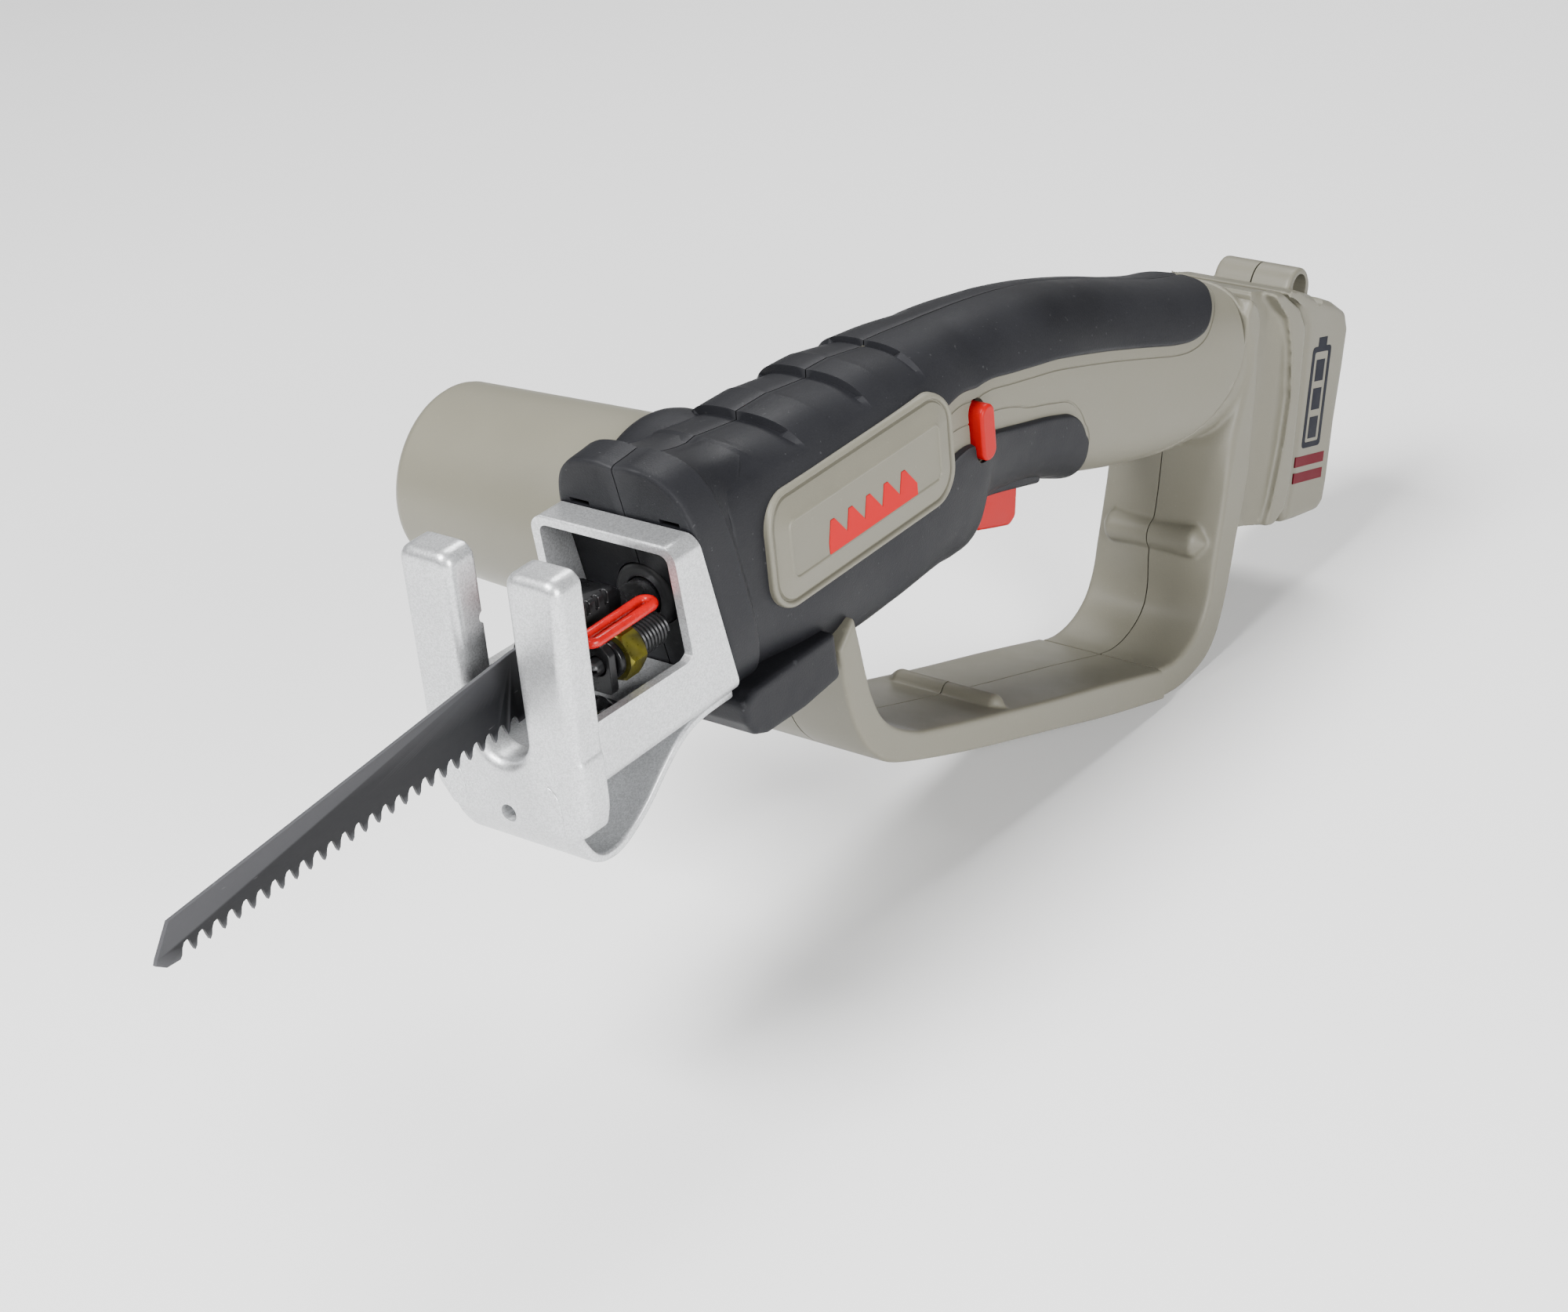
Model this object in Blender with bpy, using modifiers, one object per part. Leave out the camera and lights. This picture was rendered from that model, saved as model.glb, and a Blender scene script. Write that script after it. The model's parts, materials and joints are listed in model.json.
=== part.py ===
"""Cordless reciprocating pruning saw: every solid, in metres, +Z up.

+X is the blade's stroke direction, +Y the tool's left, +Z up. Shapes are laid out in millimetres from the
barrel datum (the plunger axis where it leaves the nose), then moved so the origin is the bounding box's
bottom centre.
"""
import math

import bmesh
import bpy
from mathutils import Matrix, Vector

MM = 0.001
GAP = 0.3                      # clearance between pieces that touch

# body: x, top z, bottom z, half width, squareness of the section
BODY = [(-7, 28.5, -24.2, 17.0, 3.4), (-22, 28, -25.6, 17.4, 3.5), (-36, 27.8, -29.6, 17.7, 3.6),
        (-50, 27.6, -33, 17.8, 3.6), (-72, 27, -33.4, 17.8, 3.5), (-92, 25, -33.2, 17.6, 3.2),
        (-99, 24.1, -33.8, 17.4, 3.2), (-106, 23.2, -33.4, 17.2, 2.9), (-110, 22.7, -26.8, 17.1, 2.6),
        (-115, 22, -25.4, 17, 2.7), (-124, 20.7, -26.2, 16.9, 2.7), (-134, 19, -28.4, 16.8, 2.6),
        (-144, 17, -31.8, 16.8, 2.6), (-160, 12.8, -38.5, 16.8, 2.6), (-180, 6.1, -45, 17, 2.7),
        (-200, -1.6, -50, 17.4, 2.9),
        (-216, -7.2, -52, 17.9, 3.1), (-232, -11.6, -53, 18.3, 3.3)]
WALL = 2.4
SKIN = 1.6                     # soft grip, outer face above the body
SEAT = 0.45                    # soft grip, inner face above the body
SEAM = [(-232, 30), (-232.4, -20), (-231, -29.3), (-227.5, -35.2), (-222.5, -39.4), (-215.5, -43),
        (-208, -45), (-200, -46), (-190, -46), (-181, -45.2), (-178, -60)]
# side view of everything the soft grip covers: top edge, rear end, top border, grey strip, lower patch
GRIP_AREA = [(10, 60), (-221, 60), (-220.6, -8), (-219.6, -12), (-217.5, -15.8), (-213, -18.7),
             (-207, -18.6), (-196.4, -15.3), (-180, -9.6), (-157, -2.1), (-127.7, 5.3), (-106.5, 9),
             (-91, 9.6), (-91, -6), (-102, -5.2), (-113.5, -6), (-133.7, -10), (-147, -13.6),
             (-152.6, -17.8), (-155.6, -24), (-156, -60), (10, -60)]
# x of the sections the body's skins are lofted through
STATIONS = [-15.2, -26, -38, -50, -62, -76, -90.6, -92, -99, -106, -110, -116, -125, -134, -142, -150, -158, -168,
            -180, -192, -202, -209, -214, -218, -220.5]
# housing screws: x, z and the y their heads sit at, on the right-hand side
SCREWS = [(-126, -8, -16.4), (-176, -23, -16.4), (-208.4, -102, -18.4), (-150, -97.4, -19.6),
          (-74, -71, -19.6)]

# D-guard side profile, front bar and bottom bar, then the rear post
GUARD_IN = [(-47.4, -23.6), (-48.9, -31.6), (-50, -38.2), (-51.7, -46), (-54.7, -53.3), (-59.5, -58.8),
            (-67, -63.8), (-73.8, -66.8), (-94.5, -74.2), (-123.6, -84.1), (-154.5, -94.1), (-180.8, -103)]
GUARD_OUT = [(-39.7, -22.6), (-41, -29.5), (-41.6, -38.3), (-43.4, -48), (-47, -57), (-52, -63.6),
             (-58.3, -68.4), (-72.8, -74.7), (-93.5, -82.6), (-122.8, -92.8), (-153.8, -103.6),
             (-180.8, -112)]
POST_IN = [(-181.2, -103.1), (-188, -104.4), (-196, -103.6), (-203, -100.2), (-207.8, -94.2), (-211, -86.3),
           (-214.4, -77.7), (-218, -68), (-221, -57.5), (-222.6, -51.5), (-221, -47.6), (-216, -45),
           (-206, -43), (-206, -38)]
POST_OUT = [(-181.2, -112.2), (-192.2, -113.6), (-204.7, -111.6), (-211.6, -106.6), (-216.6, -99),
            (-220.8, -90), (-224.1, -82), (-228.3, -73), (-233.2, -60), (-237.3, -47.9), (-239.6, -34.3),
            (-240, -24.8), (-238.4, -18.6), (-233, -14.5), (-225, -12), (-214, -14)]
GUARD_W = 19.0
POST_CROWN = 4.0               # how far the middle of the post stands in toward the fingers
NECK = [(-236, -19), (-246, -22), (-246, -40), (-238, -72), (-236, -80), (-224, -77), (-226, -60),
        (-232, -40)]
NECK_W = 16.0
COLLAR = [(-240.8, -16.4), (-252, -20.6), (-260.6, -28), (-263.7, -35), (-262, -43.2), (-257.8, -61.4),
          (-253.5, -77.8), (-249.5, -85.1), (-243.8, -87.2), (-231.5, -83.6), (-229.2, -79), (-237.5, -50),
          (-241.8, -33)]
BATTERY = [(-253, -20.6), (-262, -23.6), (-281.5, -34.2), (-288.4, -39.6), (-289.6, -45), (-286.2, -55.6),
           (-280.9, -70), (-275.9, -87), (-273.4, -93), (-270, -94.4), (-257, -91.6), (-249.6, -89.6),
           (-250.6, -86), (-254.2, -78), (-258.5, -61.4), (-262.7, -43.2), (-264.4, -35), (-261.2, -27.6)]
BATTERY_W = 19.2
TILT = math.radians(16)        # the pack's slide axis drops this much toward the rear
BAY = (-256.0, -56.0)          # centre of the pack's front face, side view

NOSE_LEAN = 0.22               # forward lean of the nose face, x per z
# nose: x on the axis, top z, bottom z, half width, squareness
NOSE = [(-1.0, 32.0, -25.0, 17.6, 3.6), (-3.0, 34.6, -26.4, 19.6, 3.6), (-8.2, 35.6, -27.2, 20.5, 3.5),
        (-14.5, 32.0, -27.2, 20.6, 3.5)]
BOOT = [(-4, -25.6), (-9, -23.6), (-39.2, -23.4), (-39.4, -30), (-40, -35.6), (-26, -36.8), (-12, -36.4),
        (-7.4, -34.6), (-4.6, -30.5)]
CUP = (-29.0, 0.0)             # motor axis, side view
CUP_END = -83.0
CUP_R = (22.6, 24.9)
GEAR = (-53.0, 0.0)            # crank gear axis, side view
TEETH = (38, 10)               # crank gear and pinion, module 1
STROKE = 7.0                   # half stroke
FORK_X = 53.0
FORK_W = 22.0
SHEET = 2.2
BOLT = (10.8, -0.4)            # y and z of the clamp bolt
LEVER_X = (15.0, 33.0)         # rear and front ends of the clamp lever; it lifts about the front one
LEVER_Y = 11.8
LEVER_Z = 7.2                  # height of the clamp lever's hinge and wire

ROOT = None
PARTS = None
CUTTERS = None
MATERIALS = {}

COLOURS = {
    "grey_shell": ((0.30, 0.29, 0.25, 1), 0.0, 0.5), "soft_grip": ((0.035, 0.036, 0.04, 1), 0.0, 0.7),
    "silver_paint": ((0.62, 0.63, 0.64, 1), 0.6, 0.4), "black_steel": ((0.02, 0.02, 0.022, 1), 0.7, 0.4),
    "red_plastic": ((0.6, 0.03, 0.03, 1), 0.0, 0.4), "red_paint": ((0.6, 0.03, 0.03, 1), 0.0, 0.35),
    "bright_steel": ((0.6, 0.6, 0.6, 1), 1.0, 0.3),
    "zinc_yellow": ((0.6, 0.45, 0.1, 1), 1.0, 0.4), "bronze": ((0.5, 0.33, 0.16, 1), 1.0, 0.5),
    "black_plastic": ((0.02, 0.02, 0.02, 1), 0.0, 0.5), "cell_wrap": ((0.05, 0.25, 0.2, 1), 0.0, 0.4),
    "blade_steel": ((0.02, 0.02, 0.022, 1), 0.8, 0.4)}


def material(name):
    if name not in MATERIALS:
        colour, metal, rough = COLOURS[name]
        mat = bpy.data.materials.new(name)
        mat.use_nodes = True
        bsdf = mat.node_tree.nodes["Principled BSDF"]
        bsdf.inputs["Base Color"].default_value = colour
        bsdf.inputs["Metallic"].default_value = metal
        bsdf.inputs["Roughness"].default_value = rough
        MATERIALS[name] = mat
    return MATERIALS[name]


# ---------------------------------------------------------------- building blocks

def finish(name, bm, mat=None):
    """Turn a bmesh in millimetres into an object; with no material it is a cutter."""
    bmesh.ops.recalc_face_normals(bm, faces=bm.faces)
    bmesh.ops.scale(bm, vec=(MM, MM, MM), verts=bm.verts)
    mesh = bpy.data.meshes.new(name)
    bm.to_mesh(mesh)
    bm.free()
    obj = bpy.data.objects.new(name, mesh)
    if mat:
        mesh.materials.append(material(mat))
        PARTS.objects.link(obj)
        obj.parent = ROOT
    else:
        CUTTERS.objects.link(obj)
        obj.parent = ROOT
        obj.hide_render = True
        obj.display_type = "WIRE"
    return obj


def boolean(obj, cutter, operation="DIFFERENCE"):
    mod = obj.modifiers.new("bool_" + cutter.name, "BOOLEAN")
    mod.operation = operation
    mod.object = cutter
    mod.solver = "EXACT"
    return obj


def bevel(obj, width, segments=2, angle=35):
    mod = obj.modifiers.new("bevel", "BEVEL")
    mod.width = width * MM
    mod.segments = segments
    mod.limit_method = "ANGLE"
    mod.angle_limit = math.radians(angle)
    return obj


def pivot(obj, point):
    """Put an object's origin on its joint axis."""
    shift = Vector(point) * MM
    obj.data.transform(Matrix.Translation(-shift))
    obj.location = shift
    return obj


def box(name, low, high, mat=None, turn=0.0):
    """A block, turned about its own middle around Y."""
    bm = bmesh.new()
    bmesh.ops.create_cube(bm, size=1.0)
    size = [b - a for a, b in zip(low, high)]
    mid = [(a + b) / 2 for a, b in zip(low, high)]
    bmesh.ops.scale(bm, vec=size, verts=bm.verts)
    bmesh.ops.rotate(bm, cent=(0, 0, 0), matrix=Matrix.Rotation(turn, 3, "Y"), verts=bm.verts)
    bmesh.ops.translate(bm, vec=mid, verts=bm.verts)
    return finish(name, bm, mat)


AXES = {"x": Matrix.Rotation(math.pi / 2, 3, "Y"), "y": Matrix.Rotation(-math.pi / 2, 3, "X"),
        "z": Matrix.Identity(3)}


def rod(name, axis, start, length, radius, mat=None, end_radius=None, sides=24, phase=0.0):
    """A cylinder or cone from a start point along +x, +y or +z."""
    bm = bmesh.new()
    bmesh.ops.create_cone(bm, cap_ends=True, segments=sides, radius1=radius,
                          radius2=radius if end_radius is None else end_radius, depth=length)
    bmesh.ops.rotate(bm, cent=(0, 0, 0), matrix=Matrix.Rotation(phase, 3, "Z"), verts=bm.verts)
    bmesh.ops.translate(bm, vec=(0, 0, length / 2), verts=bm.verts)
    bmesh.ops.rotate(bm, cent=(0, 0, 0), matrix=AXES[axis], verts=bm.verts)
    bmesh.ops.translate(bm, vec=start, verts=bm.verts)
    return finish(name, bm, mat)


def rings(name, loops, mat=None, closed=False):
    """Skin a row of equal loops of points; closed joins the last loop to the first, else both are capped."""
    bm = bmesh.new()
    rows = [[bm.verts.new(p) for p in loop] for loop in loops]
    count = len(rows[0])
    pairs = list(zip(rows, rows[1:])) + ([(rows[-1], rows[0])] if closed else [])
    for a, b in pairs:
        for i in range(count):
            j = (i + 1) % count
            bm.faces.new((a[i], a[j], b[j], b[i]))
    if not closed:
        bm.faces.new(rows[0])
        bm.faces.new(rows[-1])
    return finish(name, bm, mat)


def turned(name, axis, origin, profile, mat=None, sides=24):
    """A closed profile of (distance along the axis, radius) turned about it."""
    loops = []
    for k in range(sides):
        a = 2 * math.pi * k / sides
        loop = []
        for t, r in profile:
            v = AXES[axis] @ Vector((r * math.cos(a), r * math.sin(a), t))
            loop.append(v + Vector(origin))
        loops.append(loop)
    return rings(name, loops, mat, closed=True)


def inset(points, amount):
    """Move a closed side-view outline inward by an amount along its corner normals."""
    out = []
    n = len(points)
    area = sum(points[i][0] * points[(i + 1) % n][1] - points[(i + 1) % n][0] * points[i][1] for i in range(n))
    sign = 1 if area > 0 else -1
    for i in range(n):
        (x0, z0), (x1, z1), (x2, z2) = points[i - 1], points[i], points[(i + 1) % n]
        d1 = Vector((x1 - x0, z1 - z0)).normalized()
        d2 = Vector((x2 - x1, z2 - z1)).normalized()
        n1, n2 = Vector((-d1.y, d1.x)), Vector((-d2.y, d2.x))
        mid = n1 + n2
        mid = mid / max(mid.dot(n1), 0.4)
        out.append((x1 + sign * mid.x * amount, z1 + sign * mid.y * amount))
    return out


def prism(name, points, levels, mat=None):
    """Stack a side-view outline along Y; levels are (y, inset)."""
    loops = [[(x, y, z) for x, z in inset(points, d)] for y, d in levels]
    return rings(name, loops, mat)


def arc(cx, cz, r, a0, a1, steps):
    return [(cx + r * math.cos(math.radians(a0 + (a1 - a0) * i / steps)),
             cz + r * math.sin(math.radians(a0 + (a1 - a0) * i / steps))) for i in range(steps + 1)]


def rounded(x0, z0, x1, z1, r, steps=3):
    """A rectangle with round corners."""
    pts = []
    for cx, cz, a in ((x1 - r, z1 - r, 0), (x0 + r, z1 - r, 90), (x0 + r, z0 + r, 180), (x1 - r, z0 + r, 270)):
        pts += arc(cx, cz, r, a, a + 90, steps)
    return pts


def coil(name, axis, origin, length, radius, wire, turns, mat, steps=10, wire_sides=5):
    """A helical spring as a swept ring of points."""
    loops = []
    total = int(turns * steps)
    for k in range(total + 1):
        a = 2 * math.pi * k / steps
        t = wire + (length - 2 * wire) * k / total
        centre = Vector((radius * math.cos(a), radius * math.sin(a), t))
        outward = Vector((math.cos(a), math.sin(a), 0))
        loop = []
        for i in range(wire_sides):
            b = 2 * math.pi * i / wire_sides
            v = centre + outward * wire * math.cos(b) + Vector((0, 0, wire * math.sin(b)))
            loop.append(AXES[axis] @ v + Vector(origin))
        loops.append(loop)
    return rings(name, loops, mat)


def smooth_table(table, x):
    """Cubic run through a table's rows, keyed on a falling first column."""
    x = min(max(x, table[-1][0]), table[0][0])
    i = next(k for k in range(len(table) - 1) if x >= table[k + 1][0])
    p0, p1, p2, p3 = table[max(i - 1, 0)], table[i], table[i + 1], table[min(i + 2, len(table) - 1)]
    t = (x - p1[0]) / (p2[0] - p1[0])
    out = []
    for a, b, c, d, in zip(p0[1:], p1[1:], p2[1:], p3[1:]):
        m1 = (c - a) / (p2[0] - p0[0]) * (p2[0] - p1[0])
        m2 = (d - b) / (p3[0] - p1[0]) * (p2[0] - p1[0])
        out.append(b * (2 * t**3 - 3 * t**2 + 1) + m1 * (t**3 - 2 * t**2 + t)
                   + c * (3 * t**2 - 2 * t**3) + m2 * (t**3 - t**2))
    return out


def body_point(x, v, side, off):
    """A point on the body's section at x; v runs from 0 on top to pi underneath."""
    top, bottom, width, n = smooth_table(BODY, x)
    s, c = abs(math.sin(v)), math.cos(v)
    mid, half = (top + bottom) / 2, (top - bottom) / 2
    y, z = s ** (2 / n), math.copysign(abs(c) ** (2 / n), c)
    ny, nz = y ** (n - 1) / width, math.copysign(abs(z) ** (n - 1) / half, z)
    length = math.hypot(ny, nz)
    y, z = width * y + off * ny / length, mid + half * z + off * nz / length
    return (x, side * max(y, GAP / 2), z)


def body_angle(x, z):
    """The section angle whose point lies at height z on the side of the body."""
    top, bottom, width, n = smooth_table(BODY, x)
    t = (z - (top + bottom) / 2) / ((top - bottom) / 2)
    t = min(max(t, -1), 1)
    return math.acos(math.copysign(abs(t) ** (n / 2), t))


def slab(name, xs, span, outer, inner, side, mat=None, count=15, lean=None):
    """A curved plate on the body between two offsets; span(x) gives its two section angles.

    With lean, the front end leans like the nose and the lean has died out at that x.
    """
    loops = []
    for x in xs:
        v0, v1 = span(x)
        vs = [v0 + (v1 - v0) * i / (count - 1) for i in range(count)]
        share = NOSE_LEAN * max(0, (x - lean) / (xs[0] - lean)) if lean else 0
        loop = []
        for v, off in [(v, outer) for v in vs] + [(v, inner) for v in reversed(vs)]:
            loop.append(body_point(x + share * body_point(x, v, side, off)[2], v, side, off))
        loops.append(loop)
    return rings(name, loops, mat)


def body_solid(name, off, x0=-7, x1=-232, steps=16, mat=None):
    loops = []
    for k in range(steps + 1):
        x = x0 + (x1 - x0) * k / steps
        half = [body_point(x, math.pi * i / 12, 1, off) for i in range(13)]
        other = [body_point(x, math.pi * i / 12, -1, off) for i in range(13)]
        loops.append(half + other[::-1])
    return rings(name, loops, mat)


# ---------------------------------------------------------------- shared cutters

def tilt(s, t):
    """Side-view point at s behind the pack's front face and t up its tilted height."""
    return (BAY[0] - s * math.cos(TILT) - t * math.sin(TILT), BAY[1] - s * math.sin(TILT) + t * math.cos(TILT))


def tilted_box(name, s0, s1, t0, t1, width, mat=None, y=0.0):
    x, z = tilt((s0 + s1) / 2, (t0 + t1) / 2)
    ds, dt = (s1 - s0) / 2, (t1 - t0) / 2
    return box(name, (x - ds, y - width / 2, z - dt), (x + ds, y + width / 2, z + dt), mat, turn=-TILT)


def seam_zone(name, gap):
    """Everything behind the joint between handle tube and rear head, as a side-view block."""
    front = inset(SEAM + [(-178, -130), (-300, -130), (-300, 30)], gap)
    return rings(name, [[(x, y, z) for x, z in front] for y in (-40, 40)])


def shell_cutters():
    return {
        "rear_zone": seam_zone("cut_rear_zone", 0.0), "head_zone": seam_zone("cut_head_zone", GAP),
        "motor": rod("cut_motor_hole", "y", (CUP[0], -60, CUP[1]), 56, 21.0, sides=40),
        "motor_grip": rod("cut_motor_grip", "y", (CUP[0], -60, CUP[1]), 55, 21.8, sides=36),
        "trigger": box("cut_trigger_slot", (-141, -6.2, -62), (-107.5, 6.2, -20)),
        "grip_area": prism("keep_grip_area", GRIP_AREA, [(-40, 0), (40, 0)]),
        "lock": prism("cut_lock_slot", rounded(-109.6, -9.1, -102.2, 7.1, 3.6), [(8, 0), (30, 0)]),
        "bay": tilted_box("cut_pack_bay", -28.5, 14, -24.4, 21.4, 28.8),
        "contacts": tilted_box("cut_contact_block", -31.9, -28, -4.3, 18.3, 26.6),
        "body": body_solid("cut_body", SKIN + GAP, x0=-6, x1=-110, steps=12),
        "screws": [rod(f"cut_screw_{i}", "y", (x, -26, z), 14, 2.9, sides=16)
                   for i, (x, z, _) in enumerate(SCREWS)]}


# ---------------------------------------------------------------- housing and grips

def handle_shell(side, tag, cut):
    stations = [-9] + STATIONS + [-232]
    obj = slab(f"handle_shell_{tag}", stations, lambda x: (0, math.pi), 0, -WALL, side, "grey_shell", count=13)
    boolean(obj, cut["rear_zone"])
    boolean(obj, cut["trigger"])
    if side > 0:
        return boolean(obj, cut["lock"])
    boolean(obj, cut["motor"])
    for hole in cut["screws"][:2]:
        boolean(obj, hole)
    return obj


def grip(side, tag, cut):
    """Soft overmould: round the whole barrel, over the top of the handle and behind the trigger."""
    obj = slab(f"grip_{tag}", STATIONS, lambda x: (0, math.pi), SKIN, SEAT, side, "soft_grip", count=17,
               lean=-40)
    boolean(obj, cut["grip_area"], "INTERSECT")
    boolean(obj, cut["trigger"])
    return boolean(obj, cut["lock"] if side > 0 else cut["motor_grip"])


def nose_section(x_mid, z_top, z_bottom, width, n, count=12):
    """A leaning section of the nose, as a closed loop round the barrel."""
    loop = []
    mid, half = (z_top + z_bottom) / 2, (z_top - z_bottom) / 2
    for i in range(count * 2):
        v = math.pi * i / count
        s, c = math.sin(v), math.cos(v)
        y = width * math.copysign(abs(s) ** (2 / n), s)
        z = mid + half * math.copysign(abs(c) ** (2 / n), c)
        loop.append((x_mid + NOSE_LEAN * z, y, z))
    return loop


def nose_cap(side, tag):
    """Half of the soft nose: a thick leaning front wall with a skirt back over the barrel."""
    obj = rings(f"nose_{tag}", [nose_section(*s) for s in NOSE], "soft_grip")
    boolean(obj, body_solid(f"cut_nose_inner_{tag}", SEAT, x0=-8.7, x1=-30, steps=3))
    boolean(obj, rod(f"cut_nose_bore_{tag}", "x", (-12, 0, 0), 30, 8.4, sides=28))
    low, high = ((-60, GAP / 2, -60), (40, 60, 60)) if side > 0 else ((-60, -60, -60), (40, -GAP / 2, 60))
    boolean(obj, box(f"cut_nose_half_{tag}", low, high), "INTERSECT")
    return obj


def nose_clearance(name):
    """The nose grown by its clearance, to cut neighbours with."""
    grown = [(x + d, t + 0.4, b - 0.4, w + 0.4, n) for d, (x, t, b, w, n) in zip((0.4, 0, 0, -0.5), NOSE)]
    return rings(name, [nose_section(*s) for s in grown])


def panel_row(y, d, box, radius):
    """One outline of the label panel, its upper edge curved in with the barrel."""
    x0, z0, x1, z1 = box
    outline = rounded(x0 + d, z0 + d, x1 - d, z1 - d, radius - d, steps=4)
    return [(x, y - 1.6 * (max(0, z - 8) / 9.8) ** 2, z) for x, z in outline]


def label_panel():
    plate, plateau = (-91.3, -11, -19, 17.8), (-84.5, -3.9, -25.2, 11)
    obj = rings("label_panel", [panel_row(15, 0, plate, 8.5), panel_row(20.2, 0, plate, 8.5),
                                panel_row(20.6, 0.6, plate, 8.5), panel_row(21.6, 0, plateau, 2.4)], "grey_shell")
    return boolean(obj, body_solid("cut_body_panel", SKIN + GAP, x0=-15, x1=-100, steps=10))


# ---------------------------------------------------------------- guard, head and dock

def outline(outer, inner):
    return outer + inner[::-1]


def bar_levels(side, width, rows):
    return [(side * y, d) for y, d in [(GAP / 2, 0)] + [(width - a, b) for a, b in rows]]


def front_guard(side, tag, cut):
    """Front bar and bottom bar of the hand guard, hollow toward the middle."""
    shape = outline(GUARD_OUT, GUARD_IN)
    obj = prism(f"guard_{tag}", shape, bar_levels(side, GUARD_W + 1.3, [(1.6, 0), (0.5, 0.35), (0, 1.1)]),
                "grey_shell")
    boolean(obj, prism(f"cut_guard_hollow_{tag}", shape, [(-side, 2.3), (side * (GUARD_W - 1.5), 2.3)]))
    for hole in cut["screws"][3:] if side < 0 else []:
        boolean(obj, hole)
    return boolean(obj, cut["body"])


def guard_boot(cut):
    """Soft shoe under the barrel that covers the top of the guard's front bar."""
    levels = [(-20.6, 2.6), (-19.4, 0.7), (-17.6, 0), (17.6, 0), (19.4, 0.7), (20.6, 2.6)]
    obj = prism("guard_boot", BOOT, levels, "soft_grip")
    boolean(obj, body_solid("cut_boot_body", SKIN + 2 * GAP, x0=-6, x1=-60, steps=18))
    boolean(obj, nose_clearance("cut_boot_nose"))
    return boolean(obj, prism("cut_boot_guard", outline(GUARD_OUT, GUARD_IN), [(-26, -0.35), (26, -0.35)]))


def post_loop(y, d):
    shape = outline(POST_OUT, POST_IN)
    moved = inset(shape, d)
    first = len(POST_OUT)
    crown = POST_CROWN * (1 - (y / GUARD_W) ** 2)
    out = []
    for k, (x, z) in enumerate(moved):
        w = crown * min(1, max(0, (z + 99) / 15)) * min(1, max(0, (-46 - z) / 8)) if k >= first else 0
        out.append((x + w, z))
    return out


def rear_head(side, tag, cut):
    """Rear post of the guard with the ring round the handle's end, the neck and the dock collar."""
    rows = [(GAP / 2, 0), (7, 0), (12.5, 0), (18.1, 0), (19, 0.9)]
    loops = [[(x, side * y, z) for x, z in post_loop(y, d)] for y, d in rows]
    obj = rings(f"rear_head_{tag}", loops, "grey_shell")
    xs = [-174, -186, -198, -210, -222, -231.9]
    tube = slab(f"add_handle_end_{tag}", xs, lambda x: (0, math.pi), 0, -8, side, count=11)
    boolean(obj, tube, "UNION")
    boolean(obj, prism(f"add_neck_{tag}", NECK, bar_levels(side, NECK_W, [(2, 0), (0, 2)])), "UNION")
    collar = bar_levels(side, BATTERY_W + 0.4, [(3, 0), (0.8, 0.8), (0, 2.6)])
    boolean(obj, prism(f"add_collar_{tag}", COLLAR, collar), "UNION")
    boolean(obj, cut["head_zone"], "INTERSECT")
    hollow = [(-side, 2.4), (side * 16.2, 2.4)]
    low_post = outline(POST_OUT[:7], POST_IN[:7])
    boolean(obj, prism(f"cut_post_hollow_{tag}", low_post, hollow))
    boolean(obj, cut["bay"])
    boolean(obj, cut["contacts"])
    if side < 0:
        boolean(obj, cut["screws"][2])
    return obj


# ---------------------------------------------------------------- battery pack

def battery_case():
    levels = [(-19.2, 3.0), (-18.3, 1.2), (-16.4, 0), (16.4, 0), (18.3, 1.2), (19.2, 3.0)]
    obj = prism("battery_case", BATTERY, levels, "grey_shell")
    boolean(obj, rod("add_arch", "y", (-273.2, -12, -28.8), 24, 6.4, sides=24), "UNION")
    boolean(obj, rod("cut_arch_tunnel", "y", (-273.4, -30, -28.0), 60, 3.9, sides=20))
    boolean(obj, rod("cut_finger_dip", "y", (-284.5, -9, -31.2), 18, 4.2, sides=20))
    boolean(obj, tilted_box("cut_pack_pocket", -12, 26.6, -24, 21, 34.4))
    return boolean(obj, tilted_box("cut_latch_pocket", 9, 20, -40, -26.6, 14.6))


def battery_stem():
    obj = tilted_box("battery_stem", -27.6, 4.0, -23.6, 20.6, 28.0, "black_plastic")
    for k, y in enumerate((-9, 0, 9)):
        boolean(obj, tilted_box(f"cut_contact_{k}", -30, -14, -12, 10, 2.4, y=y))
    return obj


def cells():
    for k in range(5):
        s = 4.4 + 4.42 * k
        bevel(tilted_box(f"cell_{k + 1}", s, s + 4.1, -23.4, 20.4, 32.8, "cell_wrap"), 1.2)


def battery_latch():
    obj = tilted_box("battery_latch", 9.4, 19.6, -33.0, -29.2, 14.0, "black_plastic")
    return pivot(bevel(obj, 0.6), (tilt(14.5, -31)[0], 0, tilt(14.5, -31)[1]))


def contact_block():
    obj = tilted_box("contact_block", -31.6, -28.9, -4, 18, 26.0, "black_plastic")
    for k, y in enumerate((-9, 0, 9)):
        boolean(obj, tilted_box(f"add_contact_blade_{k}", -29.6, -16, -2, 7, 1.0, y=y), "UNION")


# ---------------------------------------------------------------- motor and gear train

def motor_cup():
    """Plain tapered cover over the motor, open toward the housing."""
    wall, rim = 2.2, 3.0
    profile = [(-22.4, CUP_R[1]), (CUP_END + rim, CUP_R[0] + 0.1), (CUP_END + 0.9, CUP_R[0] - 0.8),
               (CUP_END, CUP_R[0] - rim), (CUP_END, 0.001), (CUP_END + wall, 0.001),
               (CUP_END + wall, CUP_R[0] - rim), (CUP_END + rim + 1, CUP_R[0] - wall), (-22.4, CUP_R[1] - wall)]
    lathe("motor_cup", (CUP[0], 0, CUP[1]), profile, "grey_shell", sides=48)


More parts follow.
